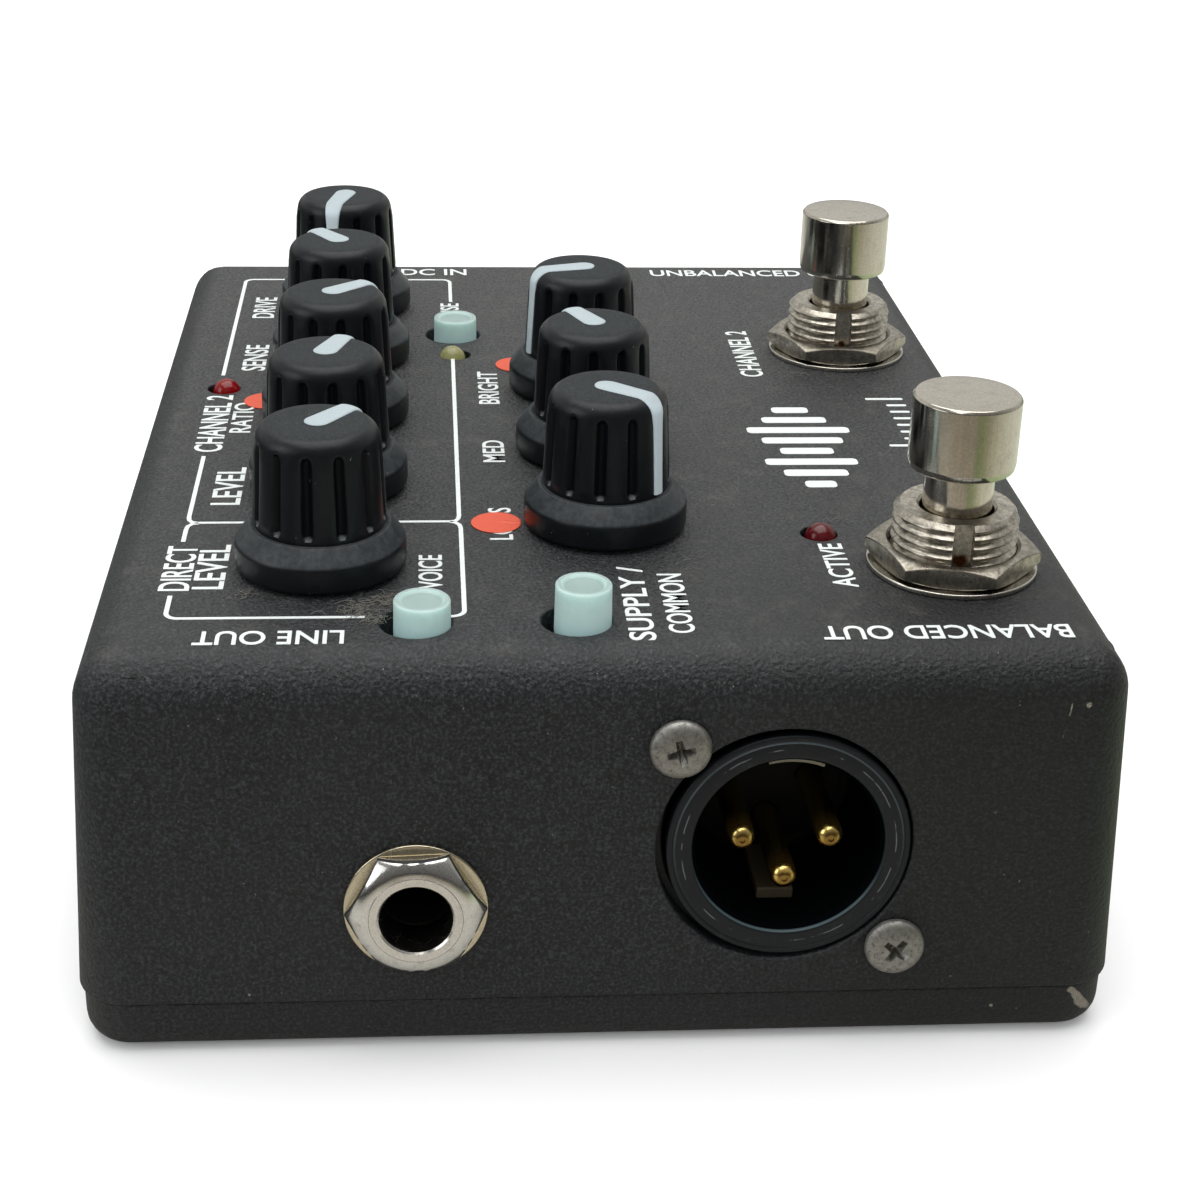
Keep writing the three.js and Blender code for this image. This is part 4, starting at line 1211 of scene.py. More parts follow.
def build_knob(name, x, y, angle, pointer_start):
    body = f"knob_{name}"
    matrix = translation(x, y, TOP) @ turn_z(angle)
    mesh = mesh_from(knob_part(), matrix)
    add_flute_depth(mesh, x, y)
    piece(f"control_knob_{name}", mesh, "knob", "knob_plastic", body, body=body, sharp=48)
    mesh = mesh_from(pointer_part(pointer_start), matrix, weld=1e-4)
    piece(f"knob_pointer_{name}", mesh, "pointer", "knob_plastic", body=body, sharp=75)


# ------------------------------------------------------------------ nuts and threads

def hex_nut(flats, z0, z1, bore, phase, lead, chamfer=None, crown=None):
    """Hexagonal nut, flats wide, turned by phase degrees.

    Its corners are cut by a chamfer of (start radius, slope) on both faces, or its upper
    face is domed along crown, a list of (radius, z). lead is the chamfer of the bore.
    """
    def drop(radius):
        return max(0, (radius - chamfer[0]) * chamfer[1])

    def column(rim):
        points = [(bore, z0 + 0.25), (bore + 0.25, z0)]
        if crown:
            radii, heights = zip(*crown)
            start, end = radii[0], rim - 0.07
            inner = [start + (end - start) * t for t in (0.85, 0.7, 0.55, 0.4, 0.2, 0.0)]
            points += [
                (rim - 0.06, z0), (rim, z0 + 0.06),
                (rim, float(np.interp(rim, radii, heights)) - 0.07),
                (end, float(np.interp(end, radii, heights)) + 0.01),
            ]
            points += [(radius, float(np.interp(radius, radii, heights))) for radius in inner]
        else:
            points += [
                (chamfer[0], z0), (rim - 0.06, z0 + drop(rim - 0.06)),
                (rim, z0 + drop(rim) + 0.07), (rim, z1 - drop(rim) - 0.07),
                (rim - 0.07, z1 - drop(rim - 0.07)), (chamfer[0], z1), (bore + lead, z1),
            ]
        return points + [(bore, z1 - lead * 0.85)]

    columns = []
    for side in range(6):
        for turn in range(-30, 30, 3):
            angle = math.radians(60 * side + 30 + turn) + math.radians(phase)
            rim = flats / 2 / math.cos(math.radians(turn))
            columns.append([polar(radius, angle, z) for radius, z in column(rim)])
    return sheet(zip(*columns), loop=True)


def threaded(major, pitch, depth, z0, z1, bore, chamfer, bore_chamfer, segments,
             key=None, plain=0.0):
    """Tube with a helical ridge, a chamfered end and an optional keyway.

    key is the bearing of the keyway in degrees; plain is the unthreaded length at the end.
    """
    key_half_width, key_floor = 0.97, 5.0
    angles = [2 * math.pi * i / segments for i in range(segments)]
    if key is not None:
        key_angle = math.radians(key)
        half = math.asin(key_half_width / major)

    def from_key(angle):
        return abs((angle - key_angle + math.pi) % (2 * math.pi) - math.pi)

    if key is not None:
        angles = [angle for angle in angles if from_key(angle) > half + 0.03]
        for t in (-1.0, -0.985, -0.6, -0.2, 0.2, 0.6, 0.985, 1.0):
            angles.append((key_angle + half * t) % (2 * math.pi))
        angles.sort()

    def radius_at(angle, z):
        phase = (z / pitch - angle / (2 * math.pi)) % 1.0
        radius = major - depth * (1 - clamp((abs(phase * 2 - 1) - 0.12) / 0.76))
        if z > z1 - plain:
            radius = major
        radius = min(radius, major - max(0.0, z - (z1 - chamfer)))
        if key is not None and from_key(angle) < half * 0.99:
            radius = min(radius, key_floor / math.cos(from_key(angle)))
        return radius

    def circle(radius, z):
        return [polar(radius, angle, z) for angle in angles]

    rows = [circle(bore, z1 - bore_chamfer), circle(bore, z0)]
    steps = max(8, int(round((z1 - z0) / pitch * 8)))
    for i in range(steps + 1):
        z = z0 + (z1 - z0) * i / steps
        rows.append([polar(radius_at(angle, z), angle, z) for angle in angles])
    rows.append(circle(bore + bore_chamfer, z1))
    return sheet(rows, loop=True)


# ------------------------------------------------------------------ foot switches

def build_foot(name, x, y, nut_phase, key):
    spot = translation(x, y)
    switch = f"footswitch_{name}"
    mesh = mesh_from(lathe(fillet([
        (0, 34.2), (3.1, 34.2, 0.15, 2), (3.2, 34.6), (3.2, 48.15, 0.22, 3),
        (4.45, 48.35), (4.78, 48.35, 0.16, 3), (4.92, 49.0, 0.3, 2), (4.92, 54.93, 0.12, 4),
        (4.70, 55.20, 0.14, 4), (3.2, 55.23), (0, 55.24),
    ]), 128), spot)
    piece(f"foot_button_{name}", mesh, "cap", "switch_nickel", f"{switch}_plunger",
          body=switch, sharp=50)

    # threaded bushing, standing through the panel
    mesh = mesh_from(threaded(
        major=5.8, pitch=0.93, depth=0.46, z0=33.0, z1=44.5, bore=3.45, chamfer=0.62,
        bore_chamfer=0.25, segments=96, key=key), spot)
    piece(f"foot_bushing_{name}", mesh, f"bushing_{name}", "switch_bushing",
          f"{switch}_body", sharp=32, weighted=False)

    # housing and nine lugs below the panel
    top = ROOF_UNDER - 0.03
    mesh = mesh_from(block(-8, 8, -6.2, 6.2, top - 12, top - 0.02), spot)
    recess = [
        (0, 31.2), (3.5, 31.2), (3.5, top - 3.4), (6.0, top - 3.4), (6.0, top + 1),
        (0, top + 1),
    ]
    mesh = bevelled(boolean(mesh, lathe(recess, 40), matrix=spot), 0.5, 3)
    piece(f"foot_housing_{name}", mesh, "black", "switch_bushing", sharp=0)
    lugs = [
        block(i * 4.8 - 0.95, i * 4.8 + 0.95, j * 4.0 - 0.3, j * 4.0 + 0.3,
              top - 15.4, top - 12.02)
        for i in (-1, 0, 1) for j in (-1, 0, 1)
    ]
    mesh = bevelled(mesh_from(merge(*lugs), spot), 0.12, 2)
    piece(f"foot_lugs_{name}", mesh, "spring", "switch_bushing", sharp=0)

    nut_z = TOP + 0.48 + 0.06
    mesh = mesh_from(hex_nut(
        flats=14.0, z0=nut_z, z1=nut_z + 2.0, bore=5.9, phase=nut_phase, lead=0.3,
        chamfer=(6.92, 0.46)), spot)
    piece(f"foot_nut_{name}", mesh, "foot_nut", "nut_nickel", f"{switch}_nut", sharp=28)
    mesh = mesh_from(lathe(fillet([
        (6.05, TOP + 0.03, 0.05, 2), (7.87, TOP + 0.03, 0.1, 3),
        (7.87, TOP + 0.50, 0.14, 4), (6.05, TOP + 0.50, 0.05, 2),
    ], loop=True), 128, loop=True), spot)
    piece(f"foot_washer_{name}", mesh, "foot_washer", "washer_nickel", f"{switch}_washer")


# ------------------------------------------------------------------ buttons and lamps

def build_button(name, x, y, height):
    top = TOP + height
    lift = 1.33 if height > 3 else 0.0  # the tall button sits higher on its stem
    mesh = mesh_from(lathe(fillet([
        (0, 31.4 + lift), (1.1, 31.4 + lift, 0.1, 2), (1.2, 31.7 + lift),
        (1.2, 34.9 + lift, 0.15, 2), (2.36, 35.0 + lift, 0.2, 3),
        (2.53, 36.2 + lift, 0.3, 3), (2.47, top, 0.34, 6), (2.02, top, 0.22, 4),
        (1.72, top - 0.30, 0.36, 4), (0, top - 0.46),
    ]), 96), translation(x, y))
    piece(f"push_cap_{name}", mesh, "mint", "button_mint", f"push_button_{name}",
          body=f"button_{name}", sharp=60)


def build_lamp(name, x, y, color):
    radius, dome_z = 1.5, TOP - 0.42
    profile = [
        (0, 33.2), (1.86, 33.2), (1.9, 33.3), (1.9, 34.15), (radius, 34.2), (radius, dome_z)]
    for i in range(1, 9):
        angle = math.pi / 2 * i / 9
        profile.append((radius * math.cos(angle), dome_z + 1.47 * math.sin(angle)))
    profile.append((0, TOP + 1.05))
    mesh = mesh_from(lathe(profile, 64), translation(x, y))
    piece(f"lamp_lens_{name}", mesh, color, f"lamp_{color}", f"lamp_{name}", sharp=50)
    legs = [block(s - 0.25, s + 0.25, -0.25, 0.25, 29.15, 33.15) for s in (-1, 1)]
    mesh = bevelled(mesh_from(merge(*legs), translation(x, y)), 0.06, 1)
    piece(f"lamp_legs_{name}", mesh, "shaft", f"lamp_{color}", sharp=0)


# ------------------------------------------------------------------ wall connectors
# Heights run outwards from the face of the wall.

def contact_spring():
    """A bent strip inside the jack's barrel."""
    path = [(-2.6, -24.8), (-2.6, -17.0), (-1.7, -15.6), (-2.5, -14.2)]
    faces = [(0, 2, 4, 6), (7, 5, 3, 1), (0, 1, 3, 2), (2, 3, 5, 4), (4, 5, 7, 6), (6, 7, 1, 0)]
    parts = []
    for (x0, z0), (x1, z1) in zip(path, path[1:]):
        corners = ((x0, -0.9, z0), (x1, -0.9, z1), (x1, 0.9, z1), (x0, 0.9, z0))
        verts = [(x + thick, y, z) for x, y, z in corners for thick in (0, 0.25)]
        parts.append((verts, faces))
    return merge(*parts)


def build_jack(name, side, y):
    wall = wall_frame(side, y, JACK_Z)
    slot = "jack_nut_nickel"
    mesh = mesh_from(threaded(
        major=4.112, pitch=0.8, depth=0.28, z0=-2.3, z1=2.45, bore=3.24, chamfer=0.02,
        bore_chamfer=0.16, segments=80, plain=1.0), wall)
    piece(f"{name}_jack_bushing", mesh, "jack_bush", slot, f"{name}_jack", sharp=32,
          weighted=False)
    mesh = mesh_from(block(-6.8, 6.8, -6.8, 6.8, -27, -2.35), wall)
    mesh = boolean(mesh, cylinder(3.26, -25.5, 0, 48), matrix=wall)
    mesh = bevelled(mesh, 0.5, 3)
    # the -X housing takes the darker black, painted shade in its bore
    piece(f"{name}_jack_housing", mesh, "hole" if side < 0 else "black", "jack_body", sharp=0)
    crown = [(4.14, 2.43), (4.6, 2.38), (5.0, 2.22), (5.4, 1.92), (5.8, 1.50), (6.25, 0.98)]
    mesh = mesh_from(hex_nut(
        flats=10.8, z0=0.53, z1=2.43, bore=4.115, phase=2.0, lead=0.02, crown=crown), wall)
    piece(f"{name}_jack_hex_nut", mesh, "jack_nut", slot, f"{name}_jack_nut", sharp=28)
    mesh = mesh_from(lathe(fillet([
        (4.25, 0.05, 0.05, 2), (6.33, 0.05, 0.08, 3), (6.33, 0.5, 0.16, 4),
        (4.25, 0.5, 0.05, 2),
    ], loop=True), 96, loop=True), wall)
    piece(f"{name}_jack_washer", mesh, "jack_washer", slot)
    mesh = mesh_from(contact_spring(), wall)
    piece(f"{name}_jack_contact", mesh, "spring", "jack_body", sharp=30)


def build_dc():
    wall = wall_frame(1, DC_Y, DC_Z)
    mesh = mesh_from(lathe(fillet([
        (0, -14), (5.3, -14, 0.3, 3), (5.3, 0.05), (6.0, 0.05, 0.1, 2), (6.0, 1.7, 0.4, 4),
        (3.2, 1.7, 0.15, 3), (2.8, 1.2, 0.1, 2), (2.8, -10), (1.03, -10),
        (1.03, -0.9, 0.25, 3), (0.45, -0.7), (0, -0.7),
    ]), 96), wall)
    piece("dc_socket", mesh, "black", "connector_black", "dc_inlet")
    mesh = mesh_from(lathe(fillet([
        (0, -9.8), (1.06, -9.8), (1.06, -0.85, 0.2, 3), (0.5, -0.6, 0.1, 2), (0, -0.6),
    ]), 48), wall)
    piece("dc_socket_pin", mesh, "jack_bush", "connector_black")


def pin_holes(radius, z0, z1):
    hole = cylinder(radius, z0, z1, 32)
    return merge(*[placed(hole, translation(*pin)) for pin in XLR_PINS])


def build_xlr_body():
    slot = "connector_black"
    # shell with a narrow groove round its face
    mesh = mesh_from(lathe(fillet([
        (0, -19), (10.85, -19, 0.3, 3), (10.85, -0.2, 0.28, 4), (10.36, -0.2, 0.05, 2),
        (10.28, -0.30, 0.05, 2), (10.16, -0.30, 0.05, 2), (10.08, -0.2, 0.05, 2),
        (8.72, -0.2, 0.30, 5), (8.2, -1.0, 0.3, 4), (8.2, -14.5, 0.4, 3), (0, -14.5),
    ]), 160), XLR_WALL)
    mesh = boolean(mesh, pin_holes(1.35, -20, -14), matrix=XLR_WALL)
    piece("balanced_connector_shell", mesh, "xlr", slot, "balanced_output_shell")
    # mounting flange behind the wall
    mesh = mesh_from(block(-12.6, 12.6, -12.4, 11.6, -4.6, -2.35), XLR_WALL)
    cuts = [cylinder(10.95, -6, 0, 96)]
    cuts += [placed(cylinder(1.55, -6, 0, 24), translation(*spot)) for spot in XLR_SCREWS]
    mesh = bevelled(boolean(mesh, merge(*cuts), matrix=XLR_WALL), 0.25, 2)
    piece("balanced_connector_flange", mesh, "black", slot, sharp=0)
    # floor of the bore, with a raised rim
    mesh = mesh_from(lathe(fillet([
        (0, -14.45), (7.9, -14.45), (7.9, -13.6, 0.15, 3), (7.2, -13.6, 0.15, 3),
        (6.9, -13.9), (0, -13.9),
    ]), 96), XLR_WALL)
    mesh = boolean(mesh, pin_holes(1.3, -16, -12), matrix=XLR_WALL)
    piece("balanced_connector_insert", mesh, "xlr_floor", slot)
    # rib at the bottom of the bore
    mesh = mesh_from(block(-1.85, 1.55, -8.12, -6.95, -13.4, -5.2), XLR_WALL)
    piece("balanced_connector_rib", bevelled(mesh, 0.22, 3), "key", slot, sharp=0)


def build_xlr_contacts():
    # strip along the top of the bore; its section is (radius, z)
    section = ((8.12, -1.6), (7.72, -1.5), (7.66, -2.1), (7.72, -9.0), (8.12, -9.0))
    rows = []
    for i in range(25):
        angle = math.radians(104.5 - 36.5 * i / 24)
        rows.append([polar(radius, angle, z) for radius, z in section])
    mesh = mesh_from(sheet(rows, "ngon", "ngon"), XLR_WALL)
    piece("balanced_connector_spring", mesh, "spring", "gold_contact")

    profile = fillet([(0, -23.5), (1.2, -23.5, 0.1, 2), (1.2, -12.0)])
    for degrees in range(0, 76, 6):
        angle = math.radians(degrees)
        profile.append((1.2 * math.cos(angle), -2.42 + 1.02 * math.sin(angle)))
    profile += [(0.27, -1.46), (0.22, -1.60), (0, -1.66)]
    for i, pin in enumerate(XLR_PINS, 1):
        mesh = mesh_from(lathe(profile, 48), XLR_WALL @ translation(*pin))
        piece(f"balanced_connector_pin_{i}", mesh, "gold", "gold_contact",
              f"balanced_output_pin_{i}", sharp=50)


def build_xlr_screws():
    head_r, dome_z, dome_rise = 2.7, 0.36, 0.98
    profile = [
        (0, -6.5), (1.15, -6.5), (1.35, -6.2), (1.35, 0.05), (2.6, 0.05), (head_r, 0.13),
        (head_r, 0.34),
    ]
    for i in range(1, 10):
        angle = math.radians(9 * i)
        profile.append((head_r * math.cos(angle) ** 0.80, dome_z + dome_rise * math.sin(angle)))
    profile.append((0, dome_z + dome_rise))
    recess = cross_cutter(reach=1.30, width=0.60, top=1.34, depth=1.05, taper=0.62)
    for i, (spot, turn) in enumerate(zip(XLR_SCREWS, (14, 52))):
        mesh = boolean(mesh_from(lathe(profile, 72)), recess, matrix=turn_z(turn))
        shift(mesh, XLR_WALL @ translation(*spot))
        piece(f"balanced_connector_screw_{i + 1}", mesh, f"xlr_screw_{i}", "screw_zinc",
              f"balanced_output_screw_{i + 1}", sharp=32)


# ------------------------------------------------------------------ print on the top panel

INK_BOTTOM, INK_TOP, TEXT_TOP = TOP - 0.02, TOP + 0.03, TOP + 0.035
LINE_WIDTH, LINE_R = 0.42, 1.1
LINE_Y = 38.15  # the lines nearest the +Y edge

# text, x0, x1, y0, y1, and where it reads: E towards +X, N towards +Y, S towards -Y
LEGENDS = [
    ("DRIVE", 33.2, 41.2, 33.75, 36.35, "E"),
    ("SENSE", 14.4, 23.2, 33.6, 36.3, "E"),
    ("RATIO", -4.9, 4.0, 33.9, 36.15, "E"),
    ("LEVEL", -24.2, -14.6, 33.55, 36.4, "E"),
    ("CHANNEL 2", -10.3, 6.3, 36.45, 39.35, "E"),
    ("DIRECT", -43.6, -33.9, 36.6, 39.4, "E"),
    ("LEVEL", -43.3, -33.7, 33.6, 36.4, "E"),
    ("VOICE", -43.6, -36.3, 14.1, 16.3, "E"),
    ("NOISE", 31.2, 38.9, 11.4, 13.7, "E"),
    ("BRIGHT", 3.5, 13.9, 7.45, 9.75, "E"),
    ("MED", -13.4, -7.4, 7.45, 9.7, "E"),
    ("LOWS", -32.9, -25.3, 7.35, 9.6, "E"),
    ("SUPPLY /", -54.2, -39.2, -4.15, -1.8, "E"),
    ("COMMON", -52.9, -40.8, -7.65, -5.35, "E"),
    ("ACTIVE", -43.9, -34.3, -23.55, -21.25, "E"),
    ("CHANNEL 2", 12.2, 28.2, -22.9, -20.3, "E"),
    ("LINE OUT", -54.35, -51.75, 22.6, 35.4, "N"),
    ("BALANCED OUT", -54.45, -51.85, -40.6, -18.6, "N"),
    ("DC IN", 50.7, 53.3, 10.2, 18.6, "S"),
    ("UNBALANCED OUT", 50.5, 53.0, -40.5, -13.6, "S"),
    ("LINE IN", 50.5, 53.0, 23.4, 32.0, "S"),
]


def text_part(text, x0, x1, y0, y1, reading):
    """Text stretched to fill a rectangle."""
    curve = bpy.data.curves.new("legend", "FONT")
    curve.body, curve.size, curve.offset = text, 1.0, 0.013
    curve.resolution_u, curve.extrude = 5, 0.5
    obj = linked("legend", curve)
    mesh = evaluated(obj)
    points = np.array([vertex.co for vertex in mesh.vertices], float)
    faces = [tuple(polygon.vertices) for polygon in mesh.polygons]
    bpy.data.objects.remove(obj)
    bpy.data.meshes.remove(mesh)
    bpy.data.curves.remove(curve)
    low, high = points.min(0), points.max(0)
    along = (points[:, 0] - low[0]) / (high[0] - low[0])
    rise = (points[:, 1] - low[1]) / (high[1] - low[1])
    z = np.where(points[:, 2] > 0, TEXT_TOP, INK_BOTTOM)
    if reading == "E":
        x, y = x0 + (x1 - x0) * along, y0 + (y1 - y0) * rise
    elif reading == "N":
        x, y = x1 - (x1 - x0) * rise, y0 + (y1 - y0) * along
    else:
        x, y = x0 + (x1 - x0) * rise, y1 - (y1 - y0) * along
    return list(zip(x, y, z)), faces


def stroke(points):
    """A printed line with square ends, following points."""
    points = np.array(points, float)
    runs = [run / np.linalg.norm(run) for run in np.diff(points, axis=0)]
    rows = []
    for i, point in enumerate(points):
        before, after = runs[max(i - 1, 0)], runs[min(i, len(runs) - 1)]
        tangent = (before + after) / np.linalg.norm(before + after)
        normal = np.array((-tangent[1], tangent[0]))
        mitre = 1 / max(0.35, float(normal @ np.array((-before[1], before[0]))))
        offset = normal * LINE_WIDTH / 2 * mitre
        left, right = point + offset, point - offset
        rows.append([
            (*left, INK_TOP), (*right, INK_TOP), (*right, INK_BOTTOM), (*left, INK_BOTTOM)])
    return sheet(rows, "ngon", "ngon")


def arc(x, y, radius, start, end, steps=8):
    """Points of an arc between two bearings in degrees."""
    out = []
    for i in range(steps + 1):
        across, rise, _ = polar(radius, math.radians(start + (end - start) * i / steps), 0)
        out.append((x + across, y + rise))
    return out


def bar(x, half, y0, y1, radius):
    """Printed upright bar with round corners, centred on x."""
    x0, x1 = x - half + radius, x + half - radius
    y0, y1 = y0 + radius, y1 - radius
    points = []
    for start, (corner_x, corner_y) in zip(
        (0, 90, 180, 270), ((x1, y1), (x0, y1), (x0, y0), (x1, y0))
    ):
        points += arc(corner_x, corner_y, radius, start, start + 90, 4)
    count = len(points)
    verts = [(x, y, z) for z in (INK_BOTTOM, INK_TOP) for x, y in points]
    faces = [tuple(range(count, 2 * count)), tuple(reversed(range(count)))]
    for i in range(count):
        j = (i + 1) % count
        faces.append((i, j, count + j, count + i))
    return verts, faces


def ink(name, part):
    mesh = mesh_from(part, weld=1e-4)
    piece(name, mesh, "ink", "powder_coat", sharp=30, weighted=False)


# Outlines round groups of controls, broken where legends and buttons stand
PANEL_LINES = [
    # round the +X end
    [(12.8, LINE_Y)] + arc(48.7 - LINE_R, LINE_Y - LINE_R, LINE_R, 90, 0)
    + arc(48.7 - LINE_R, 12.4 + LINE_R, LINE_R, 0, -90) + [(39.6, 12.4)],
    # from the middle to the divider, and on up it
    [(18.3, 12.4), (-27.2, 12.4), (-27.9, 12.5), (-28.35, 12.75), (-28.5, 13.2), (-28.5, 18.2)],
    [(-28.5, 31.8), (-28.5, 37.2), (-28.35, 37.75), (-27.9, 38.05), (-27.2, LINE_Y),
     (-11.5, LINE_Y)],
    # outline at the -X end
    [(-28.62, 37.1), (-28.8, 37.7), (-29.3, 38.05), (-30.1, LINE_Y), (-32.9, LINE_Y)],
    [(-44.6, LINE_Y)] + arc(-49.2 + LINE_R, LINE_Y - LINE_R, LINE_R, 90, 180)
    + [(-49.2, 20.9)],
    [(-28.62, 13.3), (-28.8, 12.75), (-29.3, 12.4), (-30.1, 12.28)]
    + arc(-49.2 + LINE_R, 12.25 + LINE_R, LINE_R, 270, 180) + [(-49.2, 13.5)],
]


def build_print():
    for i, legend in enumerate(LEGENDS, 1):
        ink(f"legend_{i:02d}", text_part(*legend))
    # tick scale, each seventh tick long
    ticks = []
    for i in range(15):
        height = 4.2 if i % 7 == 0 else 2.2
        ticks.append(bar(-23.2 + i * 2.0, 0.28, -37.3, -37.3 + height, radius=0.2))
    ink("panel_scale_ticks", merge(*ticks))
    for i, points in enumerate(PANEL_LINES, 1):
        ink(f"panel_line_{i}", stroke(points))
    # level meter: eight bars about one middle line
    bars = []
    for i, height in enumerate((3.2, 6.6, 9.6, 5.6, 8.6, 11.0, 7.0, 4.0)):
        y0, y1 = -24.1 - height / 2, -24.1 + height / 2
        bars.append(bar(-19.65 + i * 3.0, 0.85, y0, y1, radius=0.5))
    ink("panel_meter_bars", merge(*bars))


# ------------------------------------------------------------------ stickers and lint

STICKER_R = 2.4
STICKERS = [(-29.0, 8.89), (16.2, 5.15), (4.5, 32.8)]
# radius, height above the panel
STICKER_PROFILE = [(STICKER_R, 0.045), (STICKER_R, 0.10), (STICKER_R - 0.05, 0.12)]
STICKER_PROFILE += [
    (STICKER_R * share, z) for share, z in (
        (0.9, 0.118), (0.8, 0.117), (0.7, 0.115), (0.6, 0.116), (0.5, 0.118), (0.4, 0.12),
        (0.3, 0.12), (0.2, 0.12), (0.1, 0.12))
]


def build_stickers():
    for i, (x, y) in enumerate(STICKERS):
        rows = []
        for radius, height in STICKER_PROFILE:
            row = []
            for j in range(72):
                across, rise, z = polar(radius, 2 * math.pi * j / 72, TOP + height)
                if i == 0 and height > 0.1:  # the first sticker is creased
                    ridge = math.exp(-((across - 0.12 - 0.10 * rise) / 0.16) ** 2)
                    z += 0.10 * ridge * clamp(0.5 - rise)
                if height > 0.06:  # one edge lifts
                    z += 0.07 * max(0.0, (across * 0.8 - rise * 0.6) / STICKER_R - 0.55)
                row.append((x + across, y + rise, z))
            rows.append(row)
        part = sheet(rows, (x, y, TOP + 0.04), (x, y, TOP + 0.12))
        mesh = mesh_from(part, weld=1e-5)
        piece(f"round_sticker_{i + 1}", mesh, "sticker", "powder_coat", sharp=50)


# x, y, spread, number of fibres
LINT_SPOTS = [
    (-47.6, 21.6, 1.3, 70), (-46.2, 19.2, 1.2, 60), (-49.6, 19.9, 1.0, 36),
    (-45.2, 17.2, 0.9, 24), (-44.5, 31.5, 1.0, 14), (-24.5, 16.4, 1.2, 10),
    (-20.5, -8.4, 1.2, 8), (-38.5, -9.5, 1.2, 8), (13.6, -26.0, 1.3, 8), (-28.4, -24.6, 1.0, 6),
]


def unit(vector):
    return vector / (np.linalg.norm(vector) + 1e-9)


def fibre(rng, x, y):
    """A thin tube wandering over the panel, with a slight arch."""
    heading, bend = rng.uniform(0, 2 * math.pi), rng.uniform(-1.6, 1.6)
    length, radius = rng.uniform(0.5, 2.0), rng.uniform(0.012, 0.026)
    peak = rng.uniform(0.05, 0.22)
    points = []
    for i in range(11):
        points.append(np.array((x, y, TOP + 0.05 + peak * math.sin(math.pi * i / 10))))
        x += math.cos(heading) * length / 10
        y += math.sin(heading) * length / 10
        heading += bend * 0.35 + rng.uniform(-0.35, 0.35)
    rows = []
    for i, point in enumerate(points):
        run = unit(points[min(i + 1, 10)] - points[max(i - 1, 0)])
        side = unit(np.cross(run, (0, 0, 1.0)))
        up = np.cross(side, run)
        size = radius * (0.5 if i in (0, 10) else 1.0)
        rows.append([
            tuple(point + size * (math.cos(turn) * side + math.sin(turn) * up))
            for turn in (0, math.pi / 2, math.pi, 3 * math.pi / 2)
        ])
    return sheet(rows, "ngon", "ngon")


def build_lint():
    rng = random.Random(11)
    parts = []
    for x, y, spread, count in LINT_SPOTS:
        for _ in range(count):
            start_x, start_y = x + rng.gauss(0, spread * 0.6), y + rng.gauss(0, spread * 0.6)
            parts.append(fibre(rng, start_x, start_y))
    mesh = mesh_from(merge(*parts))
    piece("lint_fibres", mesh, "lint", "powder_coat", sharp=0, weighted=False)


# ------------------------------------------------------------------ CAD pieces that stay

def cad_material(name):
    for start, key in (("potentiometer", "pot"), ("shaft", "shaft")):
        if name.startswith(start):
            return MATS[key]
    return MATS[{"circuit_board": "board", "battery": "battery"}.get(name, "black")]


def dress_cad_pieces():
    for name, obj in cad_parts.items():
        if obj.hide_render:
            continue
        material = cad_material(name)
        if not obj.material_slots:
            obj.data.materials.append(material)
        for slot in obj.material_slots:
            slot.material = material


# ------------------------------------------------------------------ floor, lights, camera
# This section is in metres, apart from the floor's texture, which is in millimetres.

def grey(value):
    return (value, value, value)


def floor_material(name):
    mat = Mat(name)
    x, y, _ = mat.xyz
    rays = mat.node("ShaderNodeLightPath")
    glossy_ray = Field(mat, rays.outputs["Is Glossy Ray"])
    camera_ray = Field(mat, rays.outputs["Is Camera Ray"])
    seen = mat.noise(0.02, detail=2).tint(grey(0.955), grey(0.975))
    # in reflections: dim and warm towards -X, brighter towards +X, dark far out at +Y
    ahead = x.step(-330.0, 60.0).ramp(
        (0.0, (0.15, 0.135, 0.115)), (0.40, (0.235, 0.21, 0.17)),
        (0.62, (0.40, 0.38, 0.34)), (1.0, (0.54, 0.53, 0.50)))
    side = mat.math("MULTIPLY_ADD", y, 0.00125, 0.5).ramp(
        (0.0, (0.9, 0.92, 0.9)), (0.34, (1.05, 1.1, 1.0)), (0.40, (0.62, 0.85, 0.50)),
        (0.44, grey(1.0)), (0.56, grey(1.0)), (0.62, (0.62, 0.66, 0.66)),
        (0.70, (0.10, 0.11, 0.11)), (1.0, grey(0.06)))
    mirrored = mat.mix(1.0, ahead, side, mode="MULTIPLY")
    mat.color = glossy_ray.tint(grey(0.45), mirrored)
    mat.paint(seen, camera_ray)
    # the floor runs out into plain white well away from the object
    away = (x * x + y * y).sqrt().step(270.0, 620.0) * camera_ray
    mat.paint(grey(0.0), away)
    return mat.finish(rough=0.8, spec=0.0, emit=grey(1.0), emit_strength=away)


def build_stage():
    half, z = 3.0, -0.00005
    corners = [(-half, -half, z), (half, -half, z), (half, half, z), (-half, half, z)]
    mesh = bpy.data.meshes.new("studio_floor")
    mesh.from_pydata(corners, [], [(0, 1, 2, 3)])
    floor = linked("studio_floor", mesh)
    mesh.materials.append(floor_material("studio_floor"))


# name, place, target, width, height, watts, colour, shows in reflections
SOFTBOXES = [
    ("top", (0.05, 0.02, 0.80), (0, 0, 0.03), 0.9, 0.9, 6.2, (1.0, 0.995, 0.98), True),
    ("back", (0.85, 0.05, 0.50), (0, 0, 0.04), 0.9, 0.5, 2.6, (0.98, 1.0, 1.0), False),
    ("left", (-0.30, 0.80, 0.40), (0, 0, 0.04), 0.5, 0.5, 1.6, (0.95, 0.98, 1.0), True),
    ("front", (-0.75, -0.10, 0.50), (0, 0, 0.03), 0.7, 0.4, 2.2, (0.99, 1.0, 1.0), False),
]


